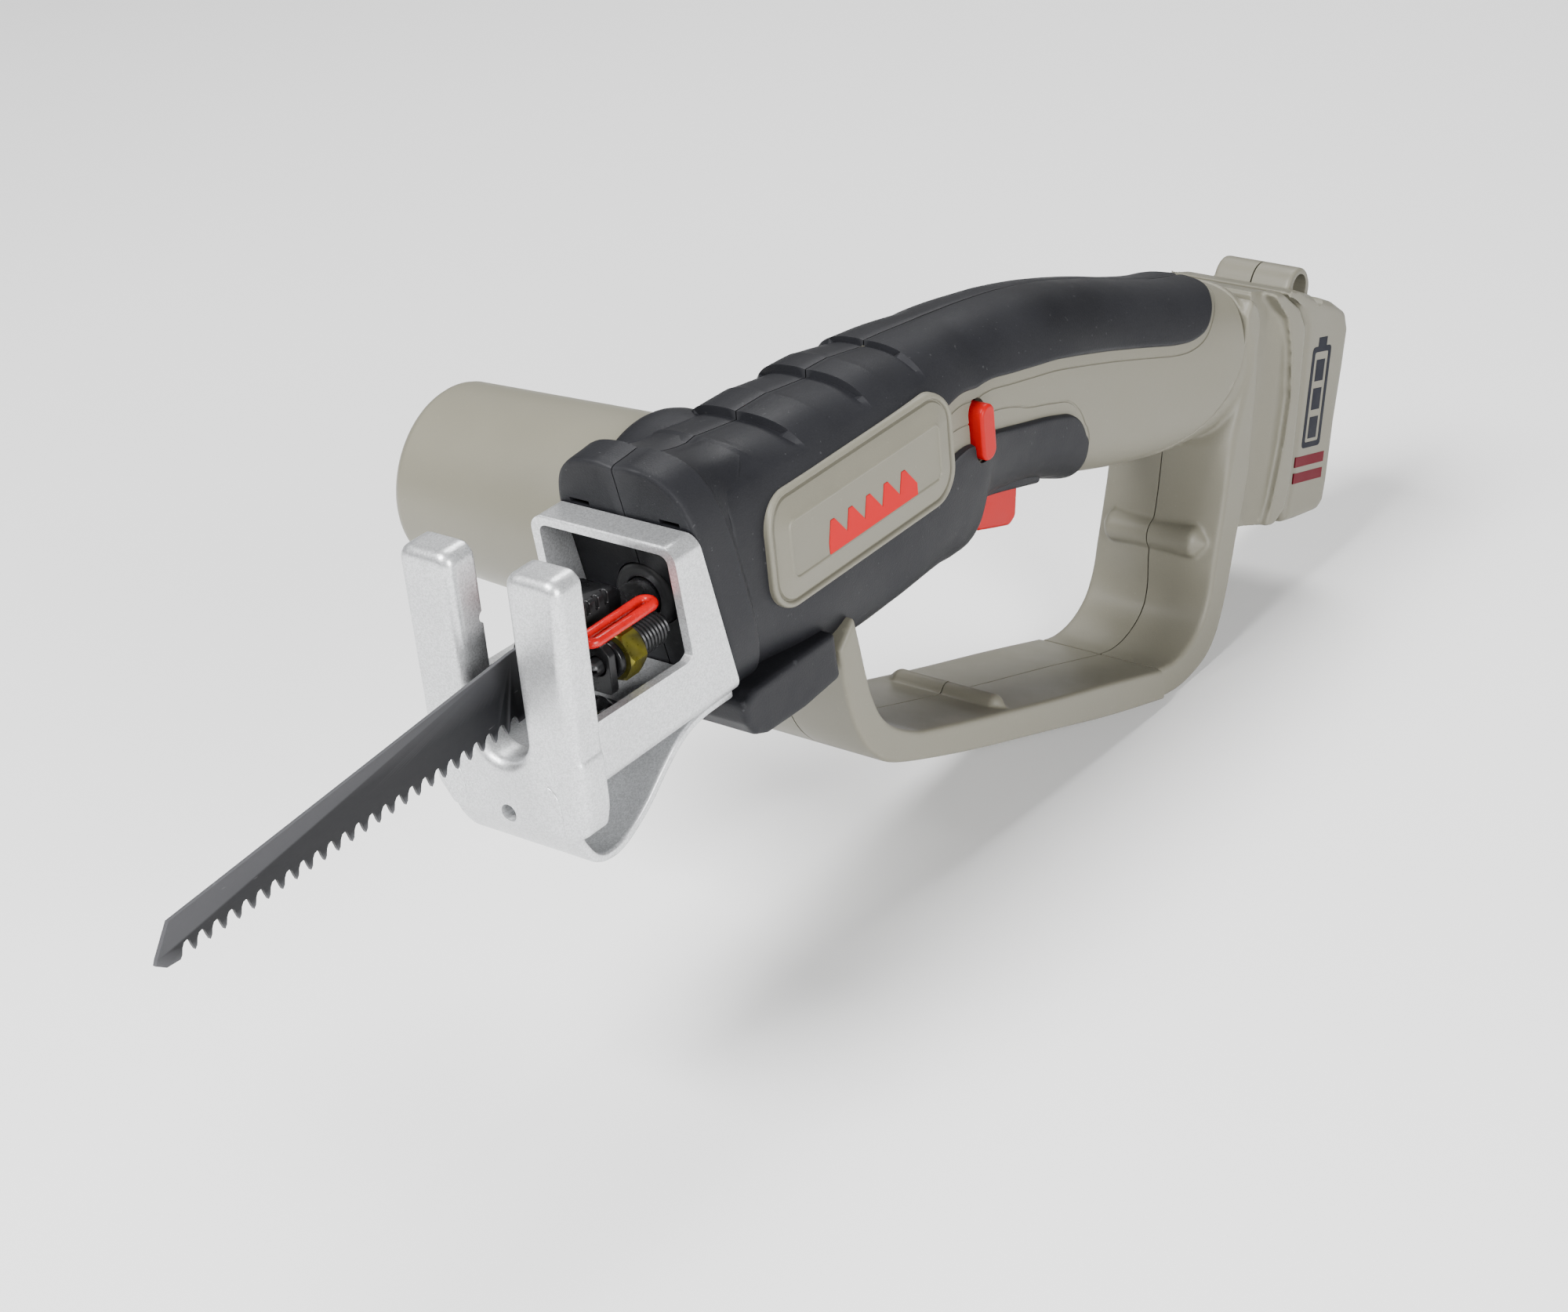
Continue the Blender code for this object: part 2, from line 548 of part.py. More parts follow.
def lathe(name, centre, profile, mat=None, sides=24):
    """A profile of (y, radius) turned about an axis along Y; points on the axis are merged."""
    bm = bmesh.new()
    rows = []
    for y, r in profile:
        if r < 0.01:
            rows.append([bm.verts.new((centre[0], y + centre[1], centre[2]))] * sides)
            continue
        rows.append([bm.verts.new((centre[0] + r * math.cos(2 * math.pi * k / sides), y + centre[1],
                                   centre[2] + r * math.sin(2 * math.pi * k / sides))) for k in range(sides)])
    count = len(rows)
    for i in range(count):
        a, b = rows[i], rows[(i + 1) % count]
        for k in range(sides):
            j = (k + 1) % sides
            corners = list(dict.fromkeys((a[k], a[j], b[j], b[k])))
            if len(corners) > 2:
                bm.faces.new(corners)
    return finish(name, bm, mat)


def motor_collar(cut):
    """Soft domed collar that joins the motor cover to the barrel."""
    profile = [(-22.1, 24.6), (-22.1, 26.2), (-20.6, 27.2), (-17.0, 27.6), (-9.0, 27.6), (-9.0, 24.6)]
    obj = lathe("motor_collar", (CUP[0], 0, CUP[1]), profile, "soft_grip", sides=40)
    boolean(obj, nose_clearance("cut_collar_nose"))
    boolean(obj, prism("cut_collar_boot", BOOT, [(-21, -0.4), (0, -0.4)]))
    boolean(obj, prism("cut_collar_guard", outline(GUARD_OUT, GUARD_IN), [(-20.7, -0.4), (0, -0.4)]))
    return boolean(obj, cut["body"])


def motor():
    x, z = CUP
    lathe("motor_can", (x, 0, z), [(-24, 17), (-24, 3.6), (-25.4, 3.6), (-25.4, 15.6), (-69, 15.6), (-69, 17)],
          "bright_steel", sides=32)
    lathe("motor_end_cap", (x, 0, z), [(-69.3, 16.6), (-69.3, 3.4), (-73, 3.4), (-73, 14), (-71.5, 16.6)],
          "black_plastic", sides=28)
    rotor = lathe("rotor", (x, 0, z), [(-75, 0.001), (-75, 2.4), (-67, 2.4), (-67, 6), (-64, 6), (-60, 14.2),
                                       (-32, 14.2), (-30, 6), (-28, 2.4), (-6.6, 2.4), (-6.6, 0.001)],
                  "bright_steel", sides=24)
    fan = lathe("motor_fan", (x, 0, z), [(-79, 2.7), (-79, 5), (-77.4, 5), (-77.4, 13.4), (-76.2, 13.4),
                                         (-76.2, 2.7)], "black_plastic", sides=24)
    for part in (rotor, fan):
        pivot(part, (x, 0, z))
    lathe("motor_bearing", (x, 0, z), [(-23.7, 2.7), (-23.7, 7.4), (-19.4, 7.4), (-19.4, 2.7)], "bright_steel",
          sides=24)


def spur(name, centre, teeth, y0, y1, phase):
    """A spur wheel, module 1, with straight-flanked teeth."""
    loop = []
    pitch = teeth / 2
    for k in range(teeth):
        mid = 2 * math.pi * k / teeth + phase
        for da, r in ((-0.58, -1.15), (-0.24, 0.85), (0.24, 0.85), (0.58, -1.15)):
            a = mid + da * math.pi / teeth
            loop.append((centre[0] + (pitch + r) * math.cos(a), centre[1] + (pitch + r) * math.sin(a)))
    return rings(name, [[(x, y, z) for x, z in loop] for y in (y0, y1)], "bright_steel")


def gears():
    gx, gz = GEAR
    wheel = spur("crank_gear", GEAR, TEETH[0], -11.2, -7, 0.0)
    boolean(wheel, rod("cut_gear_bore", "y", (gx, -20, gz), 20, 3.3, sides=20))
    boolean(wheel, rod("cut_gear_pin", "y", (gx, -20, gz + STROKE), 20, 2.0, sides=16))
    pivot(wheel, (gx, 0, gz))
    pinion = spur("pinion", CUP, TEETH[1], -11.6, -6.6, math.pi + math.pi / TEETH[1])
    boolean(pinion, rod("cut_pinion_bore", "y", (CUP[0], -20, CUP[1]), 20, 2.7, sides=20))
    pivot(pinion, (CUP[0], 0, CUP[1]))
    profile = [(-11, 0.001), (-11, 1.7), (-6.7, 1.7), (-6.7, 2.3), (-2.0, 2.3), (-2.0, 0.001)]
    pin = lathe("crank_pin", (gx, 0, gz + STROKE), profile, "bright_steel", sides=16)
    pivot(pin, (gx, 0, gz))
    profile = [(-14.4, 0.001), (-14.4, 2.9), (-6.6, 2.9), (-6.6, 4.2), (-5.8, 4.2), (-5.8, 0.001)]
    lathe("gear_axle", (gx, 0, gz), profile, "bright_steel", sides=20)


def gear_frame():
    """Plate that carries the motor and the gear axle."""
    obj = prism("gear_frame", rounded(-70, -16, -16, 16, 8), [(-13.8, 0), (-12.0, 0)], "bright_steel")
    boolean(obj, rod("cut_frame_motor", "y", (CUP[0], -30, CUP[1]), 30, 4, sides=24))
    return boolean(obj, rod("cut_frame_axle", "y", (GEAR[0], -30, GEAR[1]), 30, 3.3, sides=20))


def plunger():
    """Stroke rod with its slotted yoke; the yoke stands clear of the crank pin along Y."""
    obj = rod("plunger", "x", (-36, 0, 0), 49, 4.6, "bright_steel", sides=24)
    yoke = prism("add_yoke", rounded(-59, -13, -32, 13, 3), [(-1.4, 0), (3.2, 0)])
    boolean(obj, yoke, "UNION")
    return boolean(obj, prism("cut_yoke_slot", rounded(-56, -10.4, -50, 10.4, 2.9), [(-6, 0), (8, 0)]))


def bushes():
    turned("front_bush", "x", (-11.4, 0, 0), [(0, 4.9), (0, 8), (9.4, 8), (9.4, 4.9)], "bronze", sides=28)
    turned("rear_bush", "x", (-21.4, 0, 0), [(0, 4.9), (0, 6.8), (7.4, 6.8), (7.4, 4.9)], "bronze", sides=24)
    turned("nose_seal", "x", (-1.7, 0, 0), [(0, 4.9), (0, 7.9), (2.6, 7.4), (3.6, 6.2), (3.6, 4.9)], "black_plastic",
           sides=28)


# ---------------------------------------------------------------- blade, clamp and support

def clamp():
    side_view = [(13.3, -7.5), (13.3, 8.2), (16, 10.2), (33, 10.2), (38, 7), (40, 3), (40, -6), (36, -9.4),
                 (16, -9.4)]
    body = prism("clamp_body", side_view, [(-5.6, 1.2), (-4.4, 0), (3.0, 0), (4.2, 1.2)], "black_steel")
    boolean(body, box("add_lug_front", (29.0, 2, -7), (31.2, 14.4, 4.6)), "UNION")
    boolean(body, box("cut_blade_slot", (16, -0.8, -8.6), (50, 0.8, 8.8)))
    boolean(body, rod("cut_lug_hole", "x", (10, *BOLT), 40, 2.3, sides=16))
    rod("clamp_bolt", "x", (8.6, *BOLT), 25.4, 2.0, "black_steel", sides=16)
    turned("clamp_washer", "x", (26.8, *BOLT), [(0, 2.3), (0, 4.6), (1.2, 4.6), (1.8, 4.0), (1.8, 2.3)],
           "black_steel", sides=20)
    turned("clamp_nut", "x", (21.0, *BOLT),
           [(0, 2.7), (0, 5.5), (0.5, 6.2), (5.0, 6.2), (5.5, 5.5), (5.5, 2.7)], "zinc_yellow", sides=6)
    coil("clamp_spring", "x", (10.6, *BOLT), 10.0, 3.5, 0.62, 7, "black_steel")
    pivot(clamp_lever(), (LEVER_X[1], LEVER_Y, LEVER_Z))


def clamp_lever():
    """Flat loop of painted wire that lies over the clamp and lifts about its front bar."""
    path = []
    for cx, a0, a1 in ((LEVER_X[0], 90, 270), (LEVER_X[1], 270, 450)):
        for i in range(7):
            a = math.radians(a0 + (a1 - a0) * i / 6)
            path.append(Vector((cx + 1.9 * math.cos(a), LEVER_Y + 1.9 * math.sin(a), LEVER_Z)))
    loops = []
    for k, p in enumerate(path):
        along = (path[(k + 1) % len(path)] - path[k - 1]).normalized()
        outward = along.cross(Vector((0, 0, 1)))
        loops.append([p + (outward * math.cos(b) + Vector((0, 0, 1)) * math.sin(b)) * 1.35
                      for b in (2 * math.pi * i / 8 for i in range(8))])
    return rings("clamp_lever", loops, "red_paint", closed=True)


def blade():
    """Tapered blade with curved gullets; the shank runs back into the clamp."""
    tip_top, tip_low = (148.2, -1.4), (153.2, -8.8)
    teeth, first, last = 25, 46.0, 147.0
    pts = [(17, 7.4), (46, 7.4), tip_top, tip_low, (150.6, -10.6)]
    pitch = (last - first) / teeth
    for k in range(teeth):
        x = last - k * pitch
        base = -10.4 + (x - first) / (last - first) * -0.4 + 1.2
        pts += [(x, base - 1.2), (x - 0.3 * pitch, base + 1.6), (x - 0.72 * pitch, base + 1.9)]
    pts += [(44, -9.2), (40, -7.6), (17, -7.6)]
    return prism("blade", pts, [(-0.5, 0), (0.5, 0)], "blade_steel")


def bracket():
    """Bent hoop round the nose whose lower half runs forward as a channel to the fork."""
    side_view = [(4.9, 21.4), (13.4, 21.4), (10.6, -5.4), (12.6, -6.4), (FORK_X - 9.2, -5.6), (FORK_X - 9.2, -21.8),
                 (-4.6, -22.0)]
    obj = prism("bracket", side_view, [(-30, 0), (30, 0)], "silver_paint")
    outer = rounded(-20.2, -22.0, 20.2, 21.4, 3.6, steps=3)
    inner = rounded(-18.0, -19.8, 18.0, 19.2, 1.8, steps=3)
    for name, shape, how in (("keep_hoop", outer, "INTERSECT"), ("cut_hoop", inner, "DIFFERENCE")):
        boolean(obj, rings(name, [[(x, y, z) for y, z in shape] for x in (-30, 60)]), how)
    boolean(obj, rod("cut_shoe_bolt", "z", (24, 0, -30), 20, 3.3, sides=20))
    return obj


def fork_outline(grow):
    """Front view of the fork, grown or shrunk by an amount; points are (y, z)."""
    w, top, slot, floor = FORK_W + grow, 31.2 + grow, 7.4 - grow, -8.6
    r = 3.4 + grow
    half = arc(w - r, top - r, r, 0, 90, 4) + arc(slot + r, top - r, r, 90, 180, 4)
    bottom = arc(0, floor, slot, 0, -180, 10)
    left = [(-y, z) for y, z in half[::-1]]
    base = [(-w, -20), (-w + 1.2, -26), (-w + 5, -31.5 - grow), (w - 6, -32.5 - grow), (w - 1.2, -29.5 - grow),
            (w, -24)]
    return half + bottom + left + base


def fork():
    """Dished sheet fork that straddles the blade, with its strip bent back under the bracket."""
    x1 = FORK_X
    loops = [[(x, y, z) for y, z in fork_outline(g)] for x, g in ((x1 - 8.6, 0), (x1 - 2.2, 0), (x1 - 0.7, -0.7),
                                                                  (x1, -2.2))]
    obj = rings("branch_fork", loops, "silver_paint")
    boolean(obj, rings("cut_fork_dish", [[(x, y, z) for y, z in fork_outline(-SHEET)]
                                         for x in (x1 - 12, x1 - SHEET)]))
    outer = [(x1 - 1.0, -29), (x1 - 2.4, -33.6), (x1 - 6.5, -39.4), (x1 - 12, -41.6), (x1 - 18, -40.8),
             (x1 - 26, -36.6), (x1 - 34, -30.4), (x1 - 40, -26.6), (x1 - 47, -24.7), (-5.2, -24.6)]
    inner = [(-5.2, -22.4), (x1 - 47, -22.5), (x1 - 39.3, -24.4), (x1 - 32.8, -28.5), (x1 - 24.8, -34.7),
             (x1 - 17.4, -38.6), (x1 - 12, -39.4), (x1 - 8, -37.8), (x1 - 4.6, -32.6), (x1 - 3.2, -29)]
    boolean(obj, prism("add_strip", outer + inner, [(-17, 0), (17, 0)]), "UNION")
    return boolean(obj, rod("cut_fork_hole", "x", (x1 - 20, 0, -28.4), 40, 2.1, sides=16))


def shoe_fastener():
    lathe_z("shoe_bolt", (24, 0, 0), [(-25.6, 0.001), (-25.6, 2.9), (-19.4, 2.9), (-19.4, 5.4), (-17.2, 5.4),
                                      (-16.2, 3.6), (-16.2, 0.001)], "bright_steel")


def lathe_z(name, centre, profile, mat, sides=20):
    obj = lathe(name, (0, 0, 0), profile, mat, sides)
    obj.data.transform(Matrix.Rotation(math.pi / 2, 4, "X"))
    obj.data.transform(Matrix.Translation(Vector(centre) * MM))
    return obj


# ---------------------------------------------------------------- controls

def controls():
    side_view = [(-108.6, -21), (-112.2, -27.5), (-115.4, -33.6), (-120.6, -37.4), (-128.4, -40), (-134, -41.8),
                 (-137, -40.4), (-138.2, -34), (-139, -26), (-139, -20.6), (-124, -17), (-112, -15.6),
                 (-108.6, -17.4)]
    trigger = prism("trigger", side_view, [(-5.6, 1.2), (-4.4, 0), (4.4, 0), (5.6, 1.2)], "red_plastic")
    boolean(trigger, rod("cut_trigger_pivot", "y", (-112, -10, -18.6), 20, 1.6, sides=16))
    pivot(trigger, (-112, 0, -18.6))
    rod("trigger_pin", "y", (-112, -9.6, -18.6), 19.2, 1.3, "bright_steel", sides=14)
    coil("trigger_spring", "z", (-131, 0, -17.6), 9.4, 3.0, 0.45, 5, "bright_steel", steps=8)
    bevel(box("switch_module", (-140, -8, -8), (-112, 8, 9), "black_plastic"), 1.0)
    lock = prism("lock_button", rounded(-109.1, -8.6, -102.7, 6.6, 3.1), [(10.2, 0), (19.4, 0), (20.4, 1.0)],
                 "red_plastic")
    pivot(lock, (-105.9, 15, -1))


def screws():
    for k, (x, z, y) in enumerate(SCREWS):
        lathe(f"housing_screw_{k + 1}", (x, y, z), [(0, 0.001), (0, 2.6), (2.0, 2.6), (2.0, 1.3), (7, 1.3),
                                                    (7, 0.001)], "bright_steel", sides=12)


# ---------------------------------------------------------------- assembly

def start():
    global ROOT, PARTS, CUTTERS
    for obj in list(bpy.data.objects):
        bpy.data.objects.remove(obj)
    PARTS = bpy.data.collections.new("reciprocating_saw")
    CUTTERS = bpy.data.collections.new("cutters")
    for group in (PARTS, CUTTERS):
        bpy.context.scene.collection.children.link(group)
    ROOT = bpy.data.objects.new("frame", None)
    PARTS.objects.link(ROOT)


def settle():
    """Move everything so the origin is the bounding box's bottom centre."""
    bpy.context.view_layer.update()
    graph = bpy.context.evaluated_depsgraph_get()
    points = [obj.matrix_world @ v.co for obj in PARTS.objects if obj.type == "MESH"
              for v in obj.evaluated_get(graph).data.vertices]
    low = [min(p[i] for p in points) for i in range(3)]
    high = [max(p[i] for p in points) for i in range(3)]
    ROOT.location = (-(low[0] + high[0]) / 2, -(low[1] + high[1]) / 2, -low[2])
    bpy.context.view_layer.update()
    print("frame", [round(v, 6) for v in ROOT.location], "size", [round(b - a, 5) for a, b in zip(low, high)])


def build():
    start()
    cut = shell_cutters()
    for side, tag in ((1, "left"), (-1, "right")):
        handle_shell(side, tag, cut)
        grip(side, tag, cut)
        nose_cap(side, tag)
        front_guard(side, tag, cut)
        rear_head(side, tag, cut)
    label_panel()
    guard_boot(cut)
    battery_case()
    battery_stem()
    cells()
    battery_latch()
    contact_block()
    motor_cup()
    motor_collar(cut)
    motor()
    gears()
    gear_frame()
    plunger()
    bushes()
    clamp()
    blade()
    bracket()
    fork()
    shoe_fastener()
    controls()
    screws()
    settle()


build()
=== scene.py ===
"""Looks of the cordless pruning saw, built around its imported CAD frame.

Shapes are laid out in millimetres from the barrel datum (the plunger axis where it leaves the nose), with +X
forward, +Y the tool's left and +Z up, and moved into the frame when each mesh is made.
"""

import json
import math

import bmesh
import bpy
import numpy as np
from mathutils import Matrix, Vector


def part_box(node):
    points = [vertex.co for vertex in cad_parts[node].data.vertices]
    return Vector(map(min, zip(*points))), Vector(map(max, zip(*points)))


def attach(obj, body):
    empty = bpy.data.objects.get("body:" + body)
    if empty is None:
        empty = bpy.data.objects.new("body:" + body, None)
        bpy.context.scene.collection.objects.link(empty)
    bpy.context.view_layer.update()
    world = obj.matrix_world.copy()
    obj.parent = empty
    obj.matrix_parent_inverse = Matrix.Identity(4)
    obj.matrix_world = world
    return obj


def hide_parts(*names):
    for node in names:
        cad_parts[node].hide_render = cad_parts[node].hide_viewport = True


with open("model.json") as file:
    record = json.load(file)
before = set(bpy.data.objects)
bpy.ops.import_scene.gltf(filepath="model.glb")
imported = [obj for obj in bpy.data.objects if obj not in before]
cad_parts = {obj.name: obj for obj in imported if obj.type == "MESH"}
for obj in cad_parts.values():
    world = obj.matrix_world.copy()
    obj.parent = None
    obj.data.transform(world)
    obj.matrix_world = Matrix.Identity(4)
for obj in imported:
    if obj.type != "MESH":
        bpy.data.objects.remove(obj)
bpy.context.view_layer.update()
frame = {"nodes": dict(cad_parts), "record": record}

MM = 0.001
low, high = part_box("plunger")
DATUM = Vector((high.x - 13 * MM, (low.y + high.y) / 2, (low.z + high.z) / 2))
GAP = 0.3
HALF = GAP / 2

# body: x, top z, bottom z, half width, squareness of the section
BODY = [(-7, 28.5, -24.2, 17.0, 3.4), (-22, 28, -25.6, 17.4, 3.5), (-36, 27.8, -29.6, 17.7, 3.6),
        (-50, 27.6, -33, 17.8, 3.6), (-72, 27, -33.4, 17.8, 3.5), (-92, 25, -33.2, 17.6, 3.2),
        (-99, 24.1, -33.8, 17.4, 3.2), (-106, 23.2, -33.4, 17.2, 2.9), (-110, 22.7, -26.8, 17.1, 2.6),
        (-115, 22, -25.4, 17, 2.7), (-124, 20.7, -26.2, 16.9, 2.7), (-134, 19, -28.4, 16.8, 2.6),
        (-144, 17, -31.8, 16.8, 2.6), (-160, 12.8, -38.5, 16.8, 2.6), (-180, 6.1, -45, 17, 2.7),
        (-200, -1.6, -50, 17.4, 2.9), (-216, -7.2, -52, 17.9, 3.1), (-232, -11.6, -53, 18.3, 3.3)]
SKIN = 1.6                     # soft grip above the body
SEAT = 0.2                     # foot of the soft grip's edge
WALL = 2.4
ROUND = 18                     # millimetres along the skin for one radian of section angle
STRIP_X = -91.0                # front end of the grey strip between the two soft areas
STRIP_Z = (9.9, -3.0)
TOP_EDGE = [(-104, 10.0), (-122.5, 7.1), (-143.5, 2.4), (-165.5, -4.2), (-187, -11.4), (-199, -15.4),
            (-206.5, -16.9)]
TOP_END = [(-212.5, 1.17), (-217.5, 0.95), (-222, 0.66), (-226, 0.36)]          # x, section angle
TOP_SEAM_X = -228.5
TOP_TURN_X = -204.0            # from here the rows of the skin fan out round its end
PATCH_EDGE = [(-102, -3.0), (-110, -3.6), (-119.5, -5.6), (-130.5, -8.5), (-140, -11.2), (-146.5, -13.6),
              (-150.6, -17.0), (-153.2, -21.5)]
PATCH_END = [(-154.8, 2.0), (-156.4, 2.35), (-157.2, 2.75)]
PATCH_SEAM_X = -157.4
PATCH_TURN_X = -144.0
NOSE_LEAN = 0.22
CUP = (-29.0, 0.0)
CUP_END = -83.0
FORK_X = 53.0
BOLT = (10.8, -0.4)
LEVER_X = (15.0, 33.0)
LEVER_Y = 11.8
LEVER_Z = 7.2
TILT = math.radians(16)
BAY = (-256.0, -56.0)

SEAM = [(-232, 30), (-232.4, -20), (-231, -29.3), (-227.5, -35.2), (-222.5, -39.4), (-215.5, -43),
        (-208, -45), (-200, -46), (-190, -46), (-181, -45.2), (-178, -60)]
GUARD_IN = [(-47.4, -23.6), (-48.9, -31.6), (-50, -38.2), (-51.7, -46), (-54.7, -53.3), (-59.5, -58.8),
            (-67, -63.8), (-73.8, -66.8), (-94.5, -74.2), (-123.6, -84.1), (-154.5, -94.1), (-182.0, -103.4)]
GUARD_OUT = [(-41, -29.5), (-41.6, -38.3), (-43.4, -48), (-47, -57), (-52, -63.6), (-58.3, -68.4),
             (-72.8, -74.7), (-93.5, -82.6), (-122.8, -92.8), (-153.8, -103.6), (-182.0, -112.3)]
POST_IN = [(-180.0, -102.7), (-188, -104.4), (-196, -103.6), (-203, -100.2), (-207.8, -94.2), (-211, -86.3),
           (-214.4, -77.7), (-218, -68), (-221, -57.5), (-222.8, -50.5), (-226, -44), (-230.5, -36),
           (-232.5, -27), (-232, -20.5)]
POST_OUT = [(-180.0, -111.9), (-192.2, -113.6), (-204.7, -111.6), (-211.6, -106.6), (-216.6, -99),
            (-220.8, -90), (-224.1, -82), (-228.3, -73), (-233.2, -60), (-237.3, -47.9), (-239.6, -34.3),
            (-240, -24.8), (-238.4, -18.6), (-235.5, -16.2)]
NECK = [(-236, -19), (-246, -22), (-246, -40), (-238, -72), (-236, -80), (-224, -77), (-226, -60),
        (-232, -40)]
COLLAR = [(-240.8, -16.4), (-252, -20.6), (-260.6, -28), (-263.7, -35), (-262, -43.2), (-257.8, -61.4),
          (-253.5, -77.8), (-249.5, -85.1), (-243.8, -87.2), (-231.5, -83.6), (-229.2, -79), (-237.5, -50),
          (-241.8, -33)]
RIM = [(-246, -18.3), (-252, -20.6), (-260.6, -28), (-263.7, -35), (-262, -43.2), (-257.8, -61.4),
       (-253.5, -77.8), (-249.5, -85.1), (-243.8, -87.2), (-239, -85.8), (-244.4, -76.5), (-250.1, -64.6),
       (-254.4, -52.3), (-255.4, -38.7), (-253.9, -28.5)]
BATTERY = [(-253, -20.6), (-262, -23.6), (-281.5, -34.2), (-288.4, -39.6), (-289.6, -45), (-286.2, -55.6),
           (-280.9, -70), (-275.9, -87), (-273.4, -93), (-270, -94.4), (-257, -91.6), (-249.6, -89.6),
           (-250.6, -86), (-254.2, -78), (-258.5, -61.4), (-262.7, -43.2), (-264.4, -35), (-261.2, -27.6)]
BOOT = [(-4, -25.6), (-9, -23.6), (-39.2, -23.4), (-39.4, -30), (-40, -35.6), (-26, -36.8), (-12, -36.4),
        (-7.4, -34.6), (-4.6, -30.5)]
SCREWS = [(-126, -8, -16.4), (-176, -23, -16.4), (-208.4, -102, -18.4), (-150, -97.4, -19.6),
          (-74, -71, -19.6)]


# ---------------------------------------------------------------- materials

class Shader:
    """A material's node graph, built from object coordinates."""

    def __init__(self, name, stretch=(1, 1, 1)):
        self.material = bpy.data.materials.new(name)
        self.material.use_nodes = True
        self.nodes, self.links = self.material.node_tree.nodes, self.material.node_tree.links
        self.inputs = self.nodes["Principled BSDF"].inputs
        self.coords = self.nodes.new("ShaderNodeTexCoord").outputs["Object"]
        if stretch != (1, 1, 1):
            scale = self.node("ShaderNodeMapping", Vector=self.coords)
            scale.inputs["Scale"].default_value = stretch
            self.coords = scale.outputs["Vector"]

    def node(self, kind, **sources):
        made = self.nodes.new(kind)
        for socket, source in sources.items():
            self.links.new(source, made.inputs[socket])
        return made

    def noise(self, scale, detail=3.0, rough=0.55):
        texture = self.node("ShaderNodeTexNoise", Vector=self.coords)
        for socket, value in (("Scale", scale), ("Detail", detail), ("Roughness", rough)):
            texture.inputs[socket].default_value = value
        return texture.outputs["Fac"]

    def spread(self, source, low_in, high_in, low_out, high_out):
        """Map a range of values to another."""
        ramp = self.node("ShaderNodeMapRange", Value=source)
        sockets = ("From Min", "From Max", "To Min", "To Max")
        for socket, value in zip(sockets, (low_in, high_in, low_out, high_out)):
            ramp.inputs[socket].default_value = value
        return ramp.outputs["Result"]

    def blend(self, factor, first, second):
        """Mix two colours; the first may be another node's output."""
        mix = self.nodes.new("ShaderNodeMix")
        mix.data_type = "RGBA"
        self.links.new(factor, mix.inputs[0])
        if isinstance(first, tuple):
            mix.inputs[6].default_value = (*first, 1)
        else:
            self.links.new(first, mix.inputs[6])
        mix.inputs[7].default_value = (*second, 1)
        return mix.outputs[2]

    def finish(self, tone, roughness, height, depth, **values):
        """Wire up colour, roughness and relief, and set the plain values."""
        self.links.new(tone, self.inputs["Base Color"])
        self.links.new(roughness, self.inputs["Roughness"])
        bump = self.node("ShaderNodeBump", Height=height)
        bump.inputs["Distance"].default_value = depth * MM
        self.links.new(bump.outputs["Normal"], self.inputs["Normal"])
        for socket, value in values.items():
            self.inputs[socket.replace("_", " ")].default_value = value
        return self.material


def shade(colour, factor, lift=0.0):
    """A colour made darker or paler."""
    return tuple(min(1, c * factor + lift) for c in colour)


def surface(name, colour, rough, metal=0.0, mottle=0.10, patch=45.0, grain=2600.0, depth=0.03, specks=0.0,
            edge=0.0, edge_colour=None, rough_range=0.08, stretch=(1, 1, 1), spec=0.5):
    """A moulded, painted or machined surface: broad tone changes, fine grain, dust specks and paler edges:
    wear, and on the zinc nut a painted highlight.
    """
    graph = Shader(name, stretch)
    broad, fine = graph.noise(patch, 4), graph.noise(grain, 2, 0.7)
    dark, pale = shade(colour, 1 - mottle), shade(colour, 1 + mottle)
    tone = graph.blend(graph.spread(broad, 0.3, 0.7, 0, 1), dark, pale)
    tone = graph.blend(graph.spread(fine, 0.35, 0.75, 0, 0.35), tone, shade(colour, 1 - 2.2 * mottle))
    if specks:
        dust = graph.spread(graph.noise(900, 1, 0.5), 0.74, 0.78, 0, specks)
        tone = graph.blend(dust, tone, shade(colour, 2.2, 0.12))
    # paler sharp edges: wear on most finishes, a painted highlight on the zinc nut
    if edge:
        pointed = graph.nodes.new("ShaderNodeNewGeometry").outputs["Pointiness"]
        wear_and_highlight = graph.spread(pointed, 0.53, 0.62, 0, edge)
        tone = graph.blend(wear_and_highlight, tone, edge_colour or shade(colour, 1.5, 0.03))
    roughness = graph.spread(broad, 0.3, 0.7, rough - rough_range, rough + rough_range)
    return graph.finish(tone, roughness, fine, depth, Metallic=metal, Specular_IOR_Level=spec)


def flake_paint(name, colour, rough):
    """Silver powder coat: metal flakes of slightly different tone, soft orange peel."""
    graph = Shader(name)
    cells = graph.node("ShaderNodeTexVoronoi", Vector=graph.coords)
    cells.inputs["Scale"].default_value = 3200
    split = graph.node("ShaderNodeSeparateColor", Color=cells.outputs["Color"])
    broad = graph.noise(70, 4)
    flakes = graph.spread(split.outputs["Red"], 0, 1, 0, 1)
    tone = graph.blend(flakes, shade(colour, 0.80), shade(colour, 1.16))
    tone = graph.blend(graph.spread(broad, 0.45, 0.75, 0, 0.3), tone, shade(colour, 0.8))
    roughness = graph.spread(broad, 0.3, 0.7, rough - 0.06, rough + 0.08)
    return graph.finish(tone, roughness, graph.noise(1300, 3, 0.6), 0.05, Metallic=0.72)


